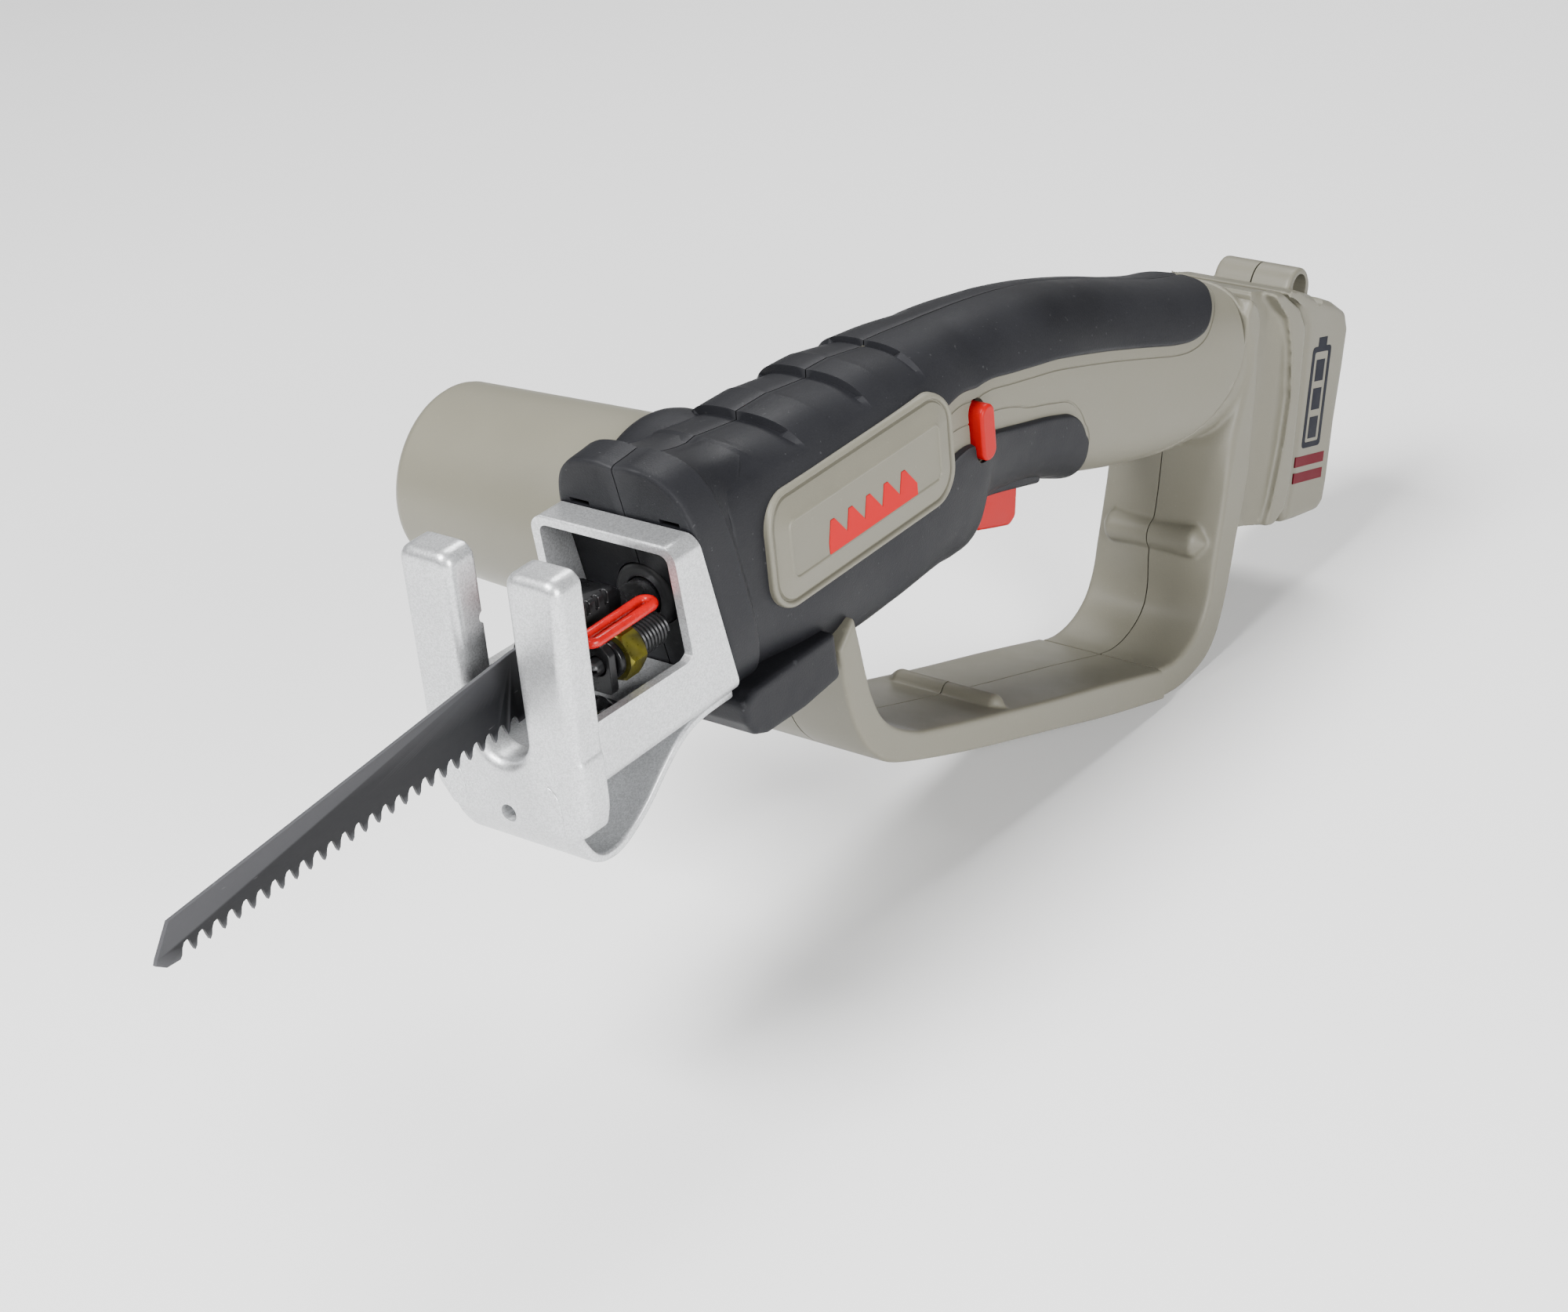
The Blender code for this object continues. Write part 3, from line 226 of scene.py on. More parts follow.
GREY = surface("grey_moulding", (0.140, 0.133, 0.102), 0.5, mottle=0.05, patch=28, grain=2300, depth=0.035,
               specks=0.05, edge=0.3, spec=0.4)
# painted light: a paler copy of the grey moulding for the motor cup, standing for its lit top
CUP_GREY_PAINTED_LIGHT = surface("grey_moulding_cup_painted_light", (0.170, 0.162, 0.124), 0.4, mottle=0.04, patch=20, depth=0.02,
                   specks=0.04, spec=0.45)
RUBBER = surface("soft_rubber", (0.0105, 0.0108, 0.0130), 0.55, mottle=0.16, patch=35, grain=2000, depth=0.05,
                 specks=0.14, edge=0.4, rough_range=0.1, spec=0.2)
RED = surface("red_moulding", (0.34, 0.001, 0.002), 0.34, mottle=0.06, patch=60, grain=1500, depth=0.01,
              edge=0.2, edge_colour=(0.5, 0.006, 0.006), spec=0.14)
RED_PAINT = surface("red_dip", (0.40, 0.0015, 0.003), 0.26, mottle=0.12, patch=300, grain=900, spec=0.3)
SILVER = flake_paint("silver_coat", (0.60, 0.61, 0.62), 0.36)
BLACKED = surface("black_oxide", (0.010, 0.010, 0.011), 0.32, metal=0.4, mottle=0.4, patch=160, grain=1900,
                  edge=0.5, edge_colour=(0.06, 0.06, 0.062), specks=0.1, spec=0.4)
BLADE = surface("blade_black", (0.0070, 0.0072, 0.0085), 0.5, mottle=0.15, patch=90, grain=2400,
                depth=0.012, specks=0.3, edge=0.5, edge_colour=(0.16, 0.16, 0.17), stretch=(0.25, 1, 1),
                spec=0.2)
STEEL = surface("bright_steel", (0.50, 0.50, 0.51), 0.28, metal=1.0, mottle=0.1, patch=90, grain=3000,
                depth=0.01, stretch=(1, 0.1, 1))
# clamp nut: dark olive body; the plating's yellow, put only on its sharp edges, is a painted highlight
ZINC = surface("yellow_zinc", (0.040, 0.038, 0.024), 0.32, metal=0.7, mottle=0.45, patch=420, grain=1500,
               edge=0.6, edge_colour=(0.5, 0.44, 0.02), spec=0.3)
BRONZE = surface("bronze", (0.36, 0.22, 0.09), 0.45, metal=1.0, mottle=0.2, patch=200, depth=0.02)
NYLON = surface("black_nylon", (0.010, 0.010, 0.011), 0.46, mottle=0.2, patch=90, spec=0.35)
WRAP = surface("cell_wrap", (0.02, 0.12, 0.09), 0.3, mottle=0.1, patch=50, depth=0.006)
PRINT_RED = surface("red_print", (0.42, 0.003, 0.006), 0.55, mottle=0.03, patch=60, depth=0.012, spec=0.12)
PRINT_WINE = surface("wine_print", (0.085, 0.001, 0.007), 0.55, mottle=0.04, patch=60, depth=0.012, spec=0.12)
PRINT_DARK = surface("dark_print", (0.005, 0.006, 0.012), 0.55, mottle=0.06, patch=60, depth=0.012, spec=0.12)

SLOT_FINISH = {"grey_shell": GREY, "soft_grip": RUBBER, "silver_paint": SILVER, "black_steel": BLACKED,
               "red_plastic": RED, "red_paint": RED_PAINT, "bright_steel": STEEL, "zinc_yellow": ZINC,
               "bronze": BRONZE, "black_plastic": NYLON, "cell_wrap": WRAP, "blade_steel": BLADE}


# ---------------------------------------------------------------- outlines, in millimetres

def arc(cx, cz, r, a0, a1, steps):
    return [(cx + r * math.cos(math.radians(a0 + (a1 - a0) * i / steps)),
             cz + r * math.sin(math.radians(a0 + (a1 - a0) * i / steps))) for i in range(steps + 1)]


def rounded(x0, z0, x1, z1, r, steps=6):
    pts = []
    corners = ((x1 - r, z1 - r), (x0 + r, z1 - r), (x0 + r, z0 + r), (x1 - r, z0 + r))
    for k, (cx, cz) in enumerate(corners):
        pts += arc(cx, cz, r, 90 * k, 90 * k + 90, steps)
    return pts


def curve(points, step=1.2):
    """A smooth line through the points, resampled at about the given spacing."""
    out = []
    for i in range(len(points) - 1):
        p0, p1, p2, p3 = (Vector(points[min(max(k, 0), len(points) - 1)]) for k in (i - 1, i, i + 1, i + 2))
        count = max(1, round((p2 - p1).length / step))
        for k in range(count):
            t = k / count
            out.append(tuple(0.5 * (2 * p1 + (p2 - p0) * t + (2 * p0 - 5 * p1 + 4 * p2 - p3) * t * t
                                    + (3 * p1 - p0 - 3 * p2 + p3) * t ** 3)))
    return out + [tuple(points[-1])]


def round_corner(a, b, c, reach, steps):
    """Points of a curve that cuts the corner at b; it leaves and joins the lines at reach from b."""
    p, q = b + (a - b).normalized() * reach, b + (c - b).normalized() * reach
    shares = [k / steps for k in range(steps + 1)]
    return [tuple(p * (1 - t) ** 2 + b * 2 * t * (1 - t) + q * t * t) for t in shares]


def fillet(points, radius, steps=4):
    """Round every corner of a closed outline."""
    out = []
    n = len(points)
    for i in range(n):
        a, b, c = Vector(points[i - 1]), Vector(points[i]), Vector(points[(i + 1) % n])
        u, w = a - b, c - b
        half = 0.5 * math.acos(max(-1, min(1, u.normalized().dot(w.normalized()))))
        if half > math.radians(84):
            out.append(tuple(b))
            continue
        out += round_corner(a, b, c, min(radius / math.tan(half), 0.45 * u.length, 0.45 * w.length), steps)
    return out


def inset(points, amount):
    """Move a closed outline inward along its corner normals."""
    pts = np.array(points, float)
    ahead, behind = np.roll(pts, -1, 0), np.roll(pts, 1, 0)
    area = np.sum(pts[:, 0] * ahead[:, 1] - ahead[:, 0] * pts[:, 1])
    d1, d2 = pts - behind, ahead - pts
    d1 /= np.linalg.norm(d1, axis=1)[:, None] + 1e-12
    d2 /= np.linalg.norm(d2, axis=1)[:, None] + 1e-12
    n1, n2 = np.c_[-d1[:, 1], d1[:, 0]], np.c_[-d2[:, 1], d2[:, 0]]
    mid = n1 + n2
    mid /= np.maximum(np.sum(mid * n1, axis=1), 0.4)[:, None]
    return pts + np.sign(area) * mid * amount


def edge_levels(start, end, r_start, r_end, steps=4):
    """Heights and insets of a slab whose two rims are rounded."""
    way = 1 if end > start else -1

    def rim(at, radius, inward):
        turns = [math.pi / 2 * k / steps for k in range(steps + 1)] if radius else [math.pi / 2]
        return [(at + inward * radius * (1 - math.sin(a)), radius * (1 - math.cos(a))) for a in turns]

    return rim(start, r_start, way)[::-1] + rim(end, r_end, -way)


def half_levels(side, reach, rim):
    """Levels of one half of a slab: from just past the middle to its rounded outer rim."""
    return [(side * y, d) for y, d in edge_levels(-1, reach, 0, rim)]


# ---------------------------------------------------------------- shapes as (vertices, faces)

def rings(loops, closed=False):
    """Faces between neighbouring loops, with the two ends filled unless the loops close on themselves."""
    count = len(loops[0])
    verts = [tuple(p) for loop in loops for p in loop]
    faces = []
    for i in range(len(loops) - (0 if closed else 1)):
        a, b = i * count, (i + 1) % len(loops) * count
        faces += [(a + k, a + (k + 1) % count, b + (k + 1) % count, b + k) for k in range(count)]
    if not closed:
        faces += [tuple(range(count)), tuple(range(len(verts) - count, len(verts)))]
    return verts, faces


def on_axis(axis, t, a, b):
    """The point at t along an axis and at a and b along the other two."""
    return {"x": (t, a, b), "y": (a, t, b), "z": (a, b, t)}[axis]


def prism(points, levels, axis="y"):
    """An outline stacked along an axis, in levels of (distance, inset)."""
    return rings([[on_axis(axis, t, a, b) for a, b in inset(points, d)] for t, d in levels])


def lathe(centre, profile, axis="y", sides=64):
    """A closed profile of (distance, radius) turned about an axis; points on the axis are merged."""
    verts, index = [], []
    for t, r in profile:
        row = []
        for k in range(sides):
            if r < 0.01 and k:
                row.append(row[0])
                continue
            a = 2 * math.pi * k / sides
            verts.append(tuple(Vector(centre) + Vector(on_axis(axis, t, r * math.cos(a), r * math.sin(a)))))
            row.append(len(verts) - 1)
        index.append(row)
    faces = []
    for i in range(len(index)):
        a, b = index[i], index[(i + 1) % len(index)]
        for k in range(sides):
            corners = list(dict.fromkeys((a[k], a[(k + 1) % sides], b[(k + 1) % sides], b[k])))
            if len(corners) > 2:
                faces.append(tuple(corners))
    return verts, faces


def rod(centre, start, end, radius, axis="y", sides=64, soft=0):
    """A round bar between two distances along an axis, its ends rounded by soft."""
    profile = [(start, 0.001), (start, radius), (end, radius), (end, 0.001)]
    return lathe(centre, soft_profile(profile, soft) if soft else profile, axis, sides)


def soft_profile(points, radius):
    """Round the corners of a lathe profile, except those on the axis."""
    out = []
    n = len(points)
    for i, p in enumerate(points):
        if p[1] < 0.01:
            out.append(p)
            continue
        a, b, c = Vector(points[i - 1]), Vector(p), Vector(points[(i + 1) % n])
        out += round_corner(a, b, c, min(radius, 0.45 * (a - b).length, 0.45 * (c - b).length), 4)
    return out


def tube(path, radius, sides=8, closed=False):
    """A round bar along a path."""
    pts = [Vector(p) for p in path]
    n = len(pts)
    loops = []
    up = Vector((0, 0, 1))
    for i, p in enumerate(pts):
        ahead, behind = ((i + 1) % n, i - 1) if closed else (min(i + 1, n - 1), max(i - 1, 0))
        along = (pts[ahead] - pts[behind]).normalized()
        side = along.cross(up)
        side = side.normalized() if side.length > 0.05 else along.cross(Vector((1, 0, 0))).normalized()
        rise = side.cross(along)
        loops.append([p + (side * math.cos(a) + rise * math.sin(a)) * radius
                      for a in (2 * math.pi * k / sides for k in range(sides))])
    return rings(loops, closed=closed)


def block(centre, size, turn=0.0):
    """A box turned about Y."""
    spin = Matrix.Rotation(turn, 3, "Y")
    verts = [tuple(Vector(centre) + spin @ Vector((size[0] / 2 * a, size[1] / 2 * b, size[2] / 2 * c)))
             for a in (-1, 1) for b in (-1, 1) for c in (-1, 1)]
    return verts, [(0, 1, 3, 2), (4, 6, 7, 5), (0, 4, 5, 1), (2, 3, 7, 6), (0, 2, 6, 4), (1, 5, 7, 3)]


def tilt(s, t):
    """Side-view point at s behind the pack's front face and t up its tilted height."""
    run, rise = math.cos(TILT), math.sin(TILT)
    return (BAY[0] - s * run - t * rise, BAY[1] - s * rise + t * run)


def tilted(s0, s1, t0, t1, width):
    """A box square to the pack, across the tool's middle."""
    x, z = tilt((s0 + s1) / 2, (t0 + t1) / 2)
    return block((x, 0, z), (s1 - s0, width, t1 - t0), -TILT)


def pack_patch(s0, s1, top, bottom):
    """Corners of a rectangle on the side of the pack."""
    return [tilt(s0, top), tilt(s1, top), tilt(s1, bottom), tilt(s0, bottom)]


# ---------------------------------------------------------------- turning shapes into pieces

def mesh_object(name, shapes):
    """One object from a list of (vertices, faces) in millimetres."""
    bm = bmesh.new()
    for verts, faces in shapes:
        made = [bm.verts.new(DATUM + Vector(v) * MM) for v in verts]
        for face in faces:
            corners = [made[i] for i in face]
            if len(set(corners)) > 2:
                bm.faces.new(corners)
    bmesh.ops.recalc_face_normals(bm, faces=bm.faces)
    mesh = bpy.data.meshes.new(name)
    bm.to_mesh(mesh)
    bm.free()
    obj = bpy.data.objects.new(name, mesh)
    bpy.context.scene.collection.objects.link(obj)
    return obj


def apply(obj):
    """Make an object's modifiers part of its mesh."""
    graph = bpy.context.evaluated_depsgraph_get()
    mesh = bpy.data.meshes.new_from_object(obj.evaluated_get(graph))
    obj.modifiers.clear()
    obj.data = mesh


def modify(obj, kind, **settings):
    mod = obj.modifiers.new(kind.lower(), kind)
    for key, value in settings.items():
        setattr(mod, key, value)


def shaped(name, shapes, cuts, keep, late_cuts, voxel, relax, bevel, join):
    """One object from shapes that are joined, cut, remeshed, smoothed and bevelled."""
    obj = mesh_object(name, shapes[:1] if join else shapes)
    tools = []

    def combine(group, operation):
        for shape in group:
            tool = mesh_object(f"{name}_tool_{len(tools)}", [shape])
            tools.append(tool)
            modify(obj, "BOOLEAN", operation=operation, object=tool, solver="EXACT")

    if join:
        combine(shapes[1:], "UNION")
    elif voxel and cuts:
        modify(obj, "REMESH", mode="VOXEL", voxel_size=voxel * MM)
    combine(keep, "INTERSECT")
    combine(cuts, "DIFFERENCE")
    if voxel:
        modify(obj, "REMESH", mode="VOXEL", voxel_size=voxel * MM)
    if relax:
        modify(obj, "SMOOTH", iterations=relax, factor=0.5)
    combine(late_cuts, "DIFFERENCE")
    if bevel:
        modify(obj, "BEVEL", width=bevel * MM, segments=3, limit_method="ANGLE", angle_limit=math.radians(32))
    if obj.modifiers:
        apply(obj)
    for tool in tools:
        bpy.data.objects.remove(tool)
    return obj


def piece(name, shapes, slot, body="housing", nodes=(), mat=None, cuts=(), keep=(), late_cuts=(), voxel=0,
          relax=0, bevel=0, join=False, angle=34):
    """A finished piece: its shape, material and shading, the body it rides on and the nodes it replaces."""
    obj = shaped(name, shapes, cuts, keep, late_cuts, voxel, relax, bevel, join)
    obj.data.materials.clear()
    obj.data.materials.append(mat or SLOT_FINISH[slot])
    obj.data.shade_smooth()
    obj.data.set_sharp_from_angle(angle=math.radians(angle))
    if not voxel:
        modify(obj, "WEIGHTED_NORMAL", keep_sharp=True)
    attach(obj, body)
    if nodes:
        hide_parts(*nodes)


# ---------------------------------------------------------------- the body's surface

def smooth_table(table, x):
    x = min(max(x, table[-1][0]), table[0][0])
    i = next(k for k in range(len(table) - 1) if x >= table[k + 1][0])
    p0, p1, p2, p3 = table[max(i - 1, 0)], table[i], table[i + 1], table[min(i + 2, len(table) - 1)]
    t = (x - p1[0]) / (p2[0] - p1[0])
    out = []
    for a, b, c, d in zip(p0[1:], p1[1:], p2[1:], p3[1:]):
        m1 = (c - a) / (p2[0] - p0[0]) * (p2[0] - p1[0])
        m2 = (d - b) / (p3[0] - p1[0]) * (p2[0] - p1[0])
        out.append(b * (2 * t**3 - 3 * t**2 + 1) + m1 * (t**3 - 2 * t**2 + t)
                   + c * (3 * t**2 - 2 * t**3) + m2 * (t**3 - t**2))
    return out


def body_point(x, v, side, off):
    """A point on the body's section at x; v runs from 0 on top to pi underneath."""
    top, bottom, width, n = smooth_table(BODY, x)
    s, c = abs(math.sin(v)), math.cos(v)
    mid, half = (top + bottom) / 2, (top - bottom) / 2
    y, z = s ** (2 / n), math.copysign(abs(c) ** (2 / n), c)
    ny, nz = y ** (n - 1) / width, math.copysign(abs(z) ** (n - 1) / half, z)
    length = math.hypot(ny, nz)
    return (x, side * max(width * y + off * ny / length, HALF), mid + half * z + off * nz / length)


def body_angle(x, z):
    """The section angle whose point lies at height z on the side of the body."""
    top, bottom, _, n = smooth_table(BODY, x)
    t = min(max((z - (top + bottom) / 2) / ((top - bottom) / 2), -1), 1)
    return math.acos(math.copysign(abs(t) ** (n / 2), t))


def even_angles(v0, v1, count, x=-60):
    """Section angles that are evenly spaced along the skin."""
    fine = np.linspace(v0, v1, 400)
    pts = np.array([body_point(x, v, 1, 0)[1:] for v in fine])
    run = np.r_[0, np.cumsum(np.linalg.norm(np.diff(pts, axis=0), axis=1))]
    return list(np.interp(np.linspace(0, run[-1], count), run, fine))


# rib bands over the barrel: x of the thin front line and of the step behind it, on the seam
BANDS = [(-21.5, -36.5), (-48.0, -63.0), (-71.5, -86.0)]
BAND_END = 0.86                # section angle where a band dies out
BAND_DEPTH = (2.0, 1.85, 1.3)
ARC = [(-13, 0), (-21.5, 4.4), (-36.5, 3.2), (-48, 2.8), (-63, 2.2), (-71.5, 2.0), (-86, 1.8), (-91, 0)]


def band_depth(x, v):
    """How far the soft skin lies below its full height inside a rib band."""
    fade = 1 - (min(v, BAND_END) / BAND_END) ** 4
    depth = 0.0
    for (front, back), full in zip(BANDS, BAND_DEPTH):
        if back <= x <= front:
            depth = full * (front - x) / (front - back) + 0.12 * min(1, (front - x) / 0.5)
    if x > BANDS[0][0]:
        depth = 0.9 * min(1, (x - BANDS[0][0]) / 5)
    return depth * fade


def bowed(x, v):
    """Rows of the skin bow rearward down the side, so they follow the bands."""
    xs, bow = zip(*ARC[::-1])
    return x - float(np.interp(x, xs, bow)) * (min(v, 1.0) / 0.85) ** 2


def band_rows():
    """Rows along the barrel: close together in each band and at the step behind it, wider up to the next."""
    rows = list(np.linspace(-9.5, BANDS[0][0] + 0.3, 12))
    for k, (front, back) in enumerate(BANDS):
        after = BANDS[k + 1][0] + 0.3 if k + 1 < len(BANDS) else -90.2
        rows += list(np.linspace(front, back + 0.02, 14))
        rows += [back - 0.12, back - 0.3, back - 0.6]
        rows += list(np.linspace(back - 1.2, after, 10))
    return rows + [STRIP_X]


def edge_line(points, ends, seam_x, seam_v):
    """The border of a soft area as (x, section angle) from the strip's end to the seam."""
    raw = [(STRIP_X, body_angle(STRIP_X, points[0][1]))]
    raw += [(x, body_angle(x, z)) for x, z in points] + ends + [(seam_x, seam_v)]
    return [(x, v / ROUND) for x, v in curve([(x, v * ROUND) for x, v in raw], 1.3)]


TOP_LINE = edge_line(TOP_EDGE, TOP_END, TOP_SEAM_X, 0.0)
PATCH_LINE = edge_line(PATCH_EDGE, PATCH_END, PATCH_SEAM_X, math.pi)


def fan_rows(line, seam_v, turn_x, seam_x):
    """Pair each border point with a point on the seam; past turn_x the rows fan out round the end."""
    rows = []
    first = next(k for k, (x, v) in enumerate(line) if x < turn_x)
    for k, (x, v) in enumerate(line[:-1]):
        if k < first:
            rows.append(((x, seam_v), (x, v)))
        else:
            t = (k - first + 1) / (len(line) - 1 - first)
            rows.append(((turn_x + (seam_x - turn_x) * t ** 0.8, seam_v), (x, v)))
    return rows


def column_shares(length, count):
    """Shares of a row from seam to border, close together at both ends."""
    near = [0, 0.25, 0.7]
    far = [1.6, 0.95, 0.55, 0.28, 0.1, 0]
    mid = np.linspace(0.7, length - 1.6, count + 2)[1:-1]
    return [d / length for d in near] + [d / length for d in mid] + [(length - d) / length for d in far]


def row_points(start, end, count):
    """Points of a row from the seam to the border, as (x, section angle)."""
    length = max(4.0, math.hypot(end[0] - start[0], (end[1] - start[1]) * ROUND))
    return [(start[0] + (end[0] - start[0]) * t, start[1] + (end[1] - start[1]) * t)
            for t in column_shares(length, count)]


def skin_grid():
    """Cells of the soft skin as (x, section angle) and the quads between them."""
    upper, lower, middle = 26, 18, 8
    cells, quads = [], []

    def add_row(points, before):
        """Append a row and join it to the one before."""
        row = list(range(len(cells), len(cells) + len(points)))
        cells.extend(points)
        if before:
            quads.extend((before[i], before[i + 1], row[i + 1], row[i]) for i in range(len(row) - 1))
        return row

    row = None
    for x in band_rows():
        v_top, v_low = body_angle(x, TOP_EDGE[0][1]), body_angle(x, PATCH_EDGE[0][1])
        angles = [v for _, v in row_points((x, 0), (x, v_top), upper)]
        angles += list(np.linspace(v_top, v_low, middle + 2)[1:-1])
        angles += [v for _, v in row_points((x, math.pi), (x, v_low), lower)[::-1]]
        row = add_row([(bowed(x, v), v) for v in angles], row)
    top, bottom = row[:len(column_shares(30, upper))], row[-len(column_shares(30, lower)):][::-1]
    for before, rows, count in ((top, fan_rows(TOP_LINE, 0.0, TOP_TURN_X, TOP_SEAM_X), upper),
                                (bottom, fan_rows(PATCH_LINE, math.pi, PATCH_TURN_X, PATCH_SEAM_X), lower)):
        for start, end in rows[1:]:
            before = add_row(row_points(start, end, count), before)
    return cells, quads


def skin_height(x, v, y, to_border):
    """Height of the soft skin over the body: round lip at its border, small dip at the seam, rib bands."""
    round_off = math.sqrt(max(0, 1 - (1 - min(to_border, 1)) ** 2)) if x < -88 else 1
    seam_drop = 0.3 * max(0, 1 - abs(y) / 0.7) if v < 1 or v > 2.2 else 0
    return SEAT + (SKIN - SEAT) * round_off - seam_drop - band_depth(2 * x - bowed(x, v), v)


def thickened(verts, quads):
    """A skin given half a millimetre of depth, as a closed shape."""
    obj = mesh_object("thin_skin", [(verts, quads)])
    modify(obj, "SOLIDIFY", thickness=0.5 * MM, offset=-1)
    apply(obj)
    points = [tuple((v.co - DATUM) / MM) for v in obj.data.vertices]
    shape = points, [tuple(p.vertices) for p in obj.data.polygons]
    bpy.data.objects.remove(obj)
    return shape


def trigger_opening(width):
    return block((-124.2, 0, -41), (33.5, width, 42))


def lock_opening():
    return prism(rounded(-109.6, -9.1, -102.2, 7.1, 3.6), [(8, 0), (30, 0)])


def soft_skin(side, tag):
    """Overmould of the barrel, the handle's back and the patch behind the trigger, with round lips."""
    strip_angles = np.linspace(body_angle(STRIP_X, STRIP_Z[0]), body_angle(STRIP_X, STRIP_Z[1]), 30)
    border = TOP_LINE + PATCH_LINE + [(STRIP_X, v) for v in strip_angles]
    border = np.array([body_point(x, v, side, SKIN) for x, v in border])
    cells, quads = skin_grid()
    verts = []
    for x, v in cells:
        p = np.array(body_point(x, v, side, SKIN))
        to_border = np.min(np.linalg.norm(border - p, axis=1))
        verts.append(body_point(x, v, side, skin_height(x, v, p[1], to_border)))
    piece(f"soft_skin_{tag}", [thickened(verts, quads)], "soft_grip", nodes=[f"grip_{tag}"],
          cuts=[trigger_opening(12.6), lock_opening()] if side > 0 else [trigger_opening(12.6)])


def border_groove(line, side, gap):
    """A thin bar along a border, moved outward on the grey skin, to cut an outline with."""
    path = []
    for k, (x, v) in enumerate(line):
        x0, v0 = line[max(k - 1, 0)]
        x1, v1 = line[min(k + 1, len(line) - 1)]
        d = Vector((x1 - x0, (v1 - v0) * ROUND)).normalized()
        out = Vector((d.y, -d.x)) if line is TOP_LINE else Vector((-d.y, d.x))
        path.append(body_point(x + out.x * gap, max(v + out.y * gap / ROUND, 0), side, 0.05))
    return tube(path, 0.32)


def handle_shell(side, tag):
    """Grey handle tube with the outlines engraved beside the soft areas."""
    angles = even_angles(0, math.pi, 64)
    section = [(v, 0) for v in angles] + [(v, -WALL) for v in angles[::-1]]
    loops = [[body_point(x, v, side, off) for v, off in section] for x in np.linspace(-84, -231.6, 84)]
    cuts = [seam_block(), trigger_opening(12.4), border_groove(TOP_LINE, side, 1.9),
            border_groove(PATCH_LINE, side, 1.8)]
    if side > 0:
        x = STRIP_X - 1.6
        end = [body_point(x, v, side, 0.05) for v in np.linspace(body_angle(x, 9.0), body_angle(x, -2.4), 12)]
        cuts += [lock_opening(), tube(end, 0.3)]
    else:
        cuts += [screw_well(screw) for screw in SCREWS[:2]]
    piece(f"handle_skin_{tag}", [rings(loops)], "grey_shell", nodes=[f"handle_shell_{tag}"], cuts=cuts)


def screw_well(screw):
    x, z, y = screw
    return rod((x, y, z), -12, 4, 2.9, sides=24)


def seam_block():
    """Everything behind the joint between handle tube and rear head."""
    front = [(-232, 30)] + curve(SEAM[1:-1], 1.5)
    return prism(front + [(-178, -60), (-178, -130), (-300, -130), (-300, 30)], [(-40, 0), (40, 0)])


# ---------------------------------------------------------------- nose, collar and motor cover

# nose: x on the axis, top z, bottom z, half width, squareness
NOSE = [(-0.1, 33.4, -25.8, 18.8, 3.6), (-0.25, 34.0, -26.2, 19.3, 3.6), (-0.6, 34.4, -26.5, 19.65, 3.6),
        (-1.2, 34.65, -26.7, 19.85, 3.55), (-2.2, 34.8, -26.8, 19.95, 3.55), (-5.6, 35.0, -26.95, 20.1, 3.55),
        (-9.3, 35.35, -27.2, 20.35, 3.5), (-9.9, 35.3, -27.15, 20.3, 3.5), (-10.1, 35.1, -27.0, 20.1, 3.5)]
NOSE_BACK = -10.1


def nose_point(v, x, top, bottom, width, n):
    mid, half = (top + bottom) / 2, (top - bottom) / 2
    c = math.cos(v)
    return x, width * abs(math.sin(v)) ** (2 / n), mid + half * math.copysign(abs(c) ** (2 / n), c)


def nose(side, tag):
    """Half of the soft nose: leaning front, round rim, crisp back edge and a hollow run into the barrel."""
    angles = [math.pi * k / 60 for k in range(61)]
    loops = [[nose_point(v, *row) for v in angles] for row in NOSE]
    for t in np.linspace(0.06, 1, 12):
        loop = []
        for v in angles:
            reach = 13.5 - 9.5 * min(1, max(0, (v - 0.45) / 0.7))
            x = NOSE_BACK - reach * t
            _, y, z = nose_point(v, *NOSE[-1])
            _, yb, zb = body_point(x, v, 1, SKIN - 0.25)
            rest = (1 - t) ** 2.4 * 0.9
            loop.append((x, yb + (y - yb) * rest, zb + (z - zb) * rest))
        loops.append(loop)
    for loop in loops:
        for k, (x, y, z) in enumerate(loop):
            z -= 0.7 * max(0, 1 - y / 0.9) * math.copysign(1, z)
            loop[k] = (x + NOSE_LEAN * z * min(1, max(0, (x + 26) / 14)), side * max(y, HALF), z)
    notch = block((5.2, side * 12.6, 21.9), (9, 5.5, 1.4))
    piece(f"nose_skin_{tag}", [rings(loops)], "soft_grip", nodes=[f"nose_{tag}"],
          cuts=[rod((0, 0, 0), -14, 16, 8.3, "x", 56), notch])


def motor_cover():
    end, r0, r1 = CUP_END, 22.6, 24.9
    outline = [(-22.4, r1), (end + 3.0, r0 + 0.1), (end + 1.9, r0 - 0.15), (end + 0.9, r0 - 0.8),
               (end + 0.25, r0 - 1.9), (end, r0 - 3.2), (end, 0.001), (end + 2.2, 0.001),
               (end + 2.2, r0 - 3.0), (end + 4, r0 - 2.2), (-22.4, r1 - 2.2)]
    centre = (CUP[0], 0, CUP[1])
    # the cup's paler grey is painted light
    piece("motor_cover", [lathe(centre, outline, sides=160)], "grey_shell", nodes=["motor_cup"], mat=CUP_GREY_PAINTED_LIGHT,
          angle=50)
    collar = [(-22.3, 24.4), (-22.3, 25.6), (-21.8, 26.3), (-20.4, 27.0), (-18.5, 27.4), (-16, 27.5),
              (-12, 27.0), (-6, 25.2), (-1, 22.6), (-1, 20)]
    cuts = [solid_body(-0.6), prism(guard_outline(), [(-20.8, -0.4), (4, -0.4)]),
            prism(fillet(BOOT, 2), [(-21, -0.3), (4, -0.3)])]
    piece("motor_collar_skin", [lathe(centre, collar, sides=128)], "soft_grip", nodes=["motor_collar"],
          cuts=cuts, angle=50)


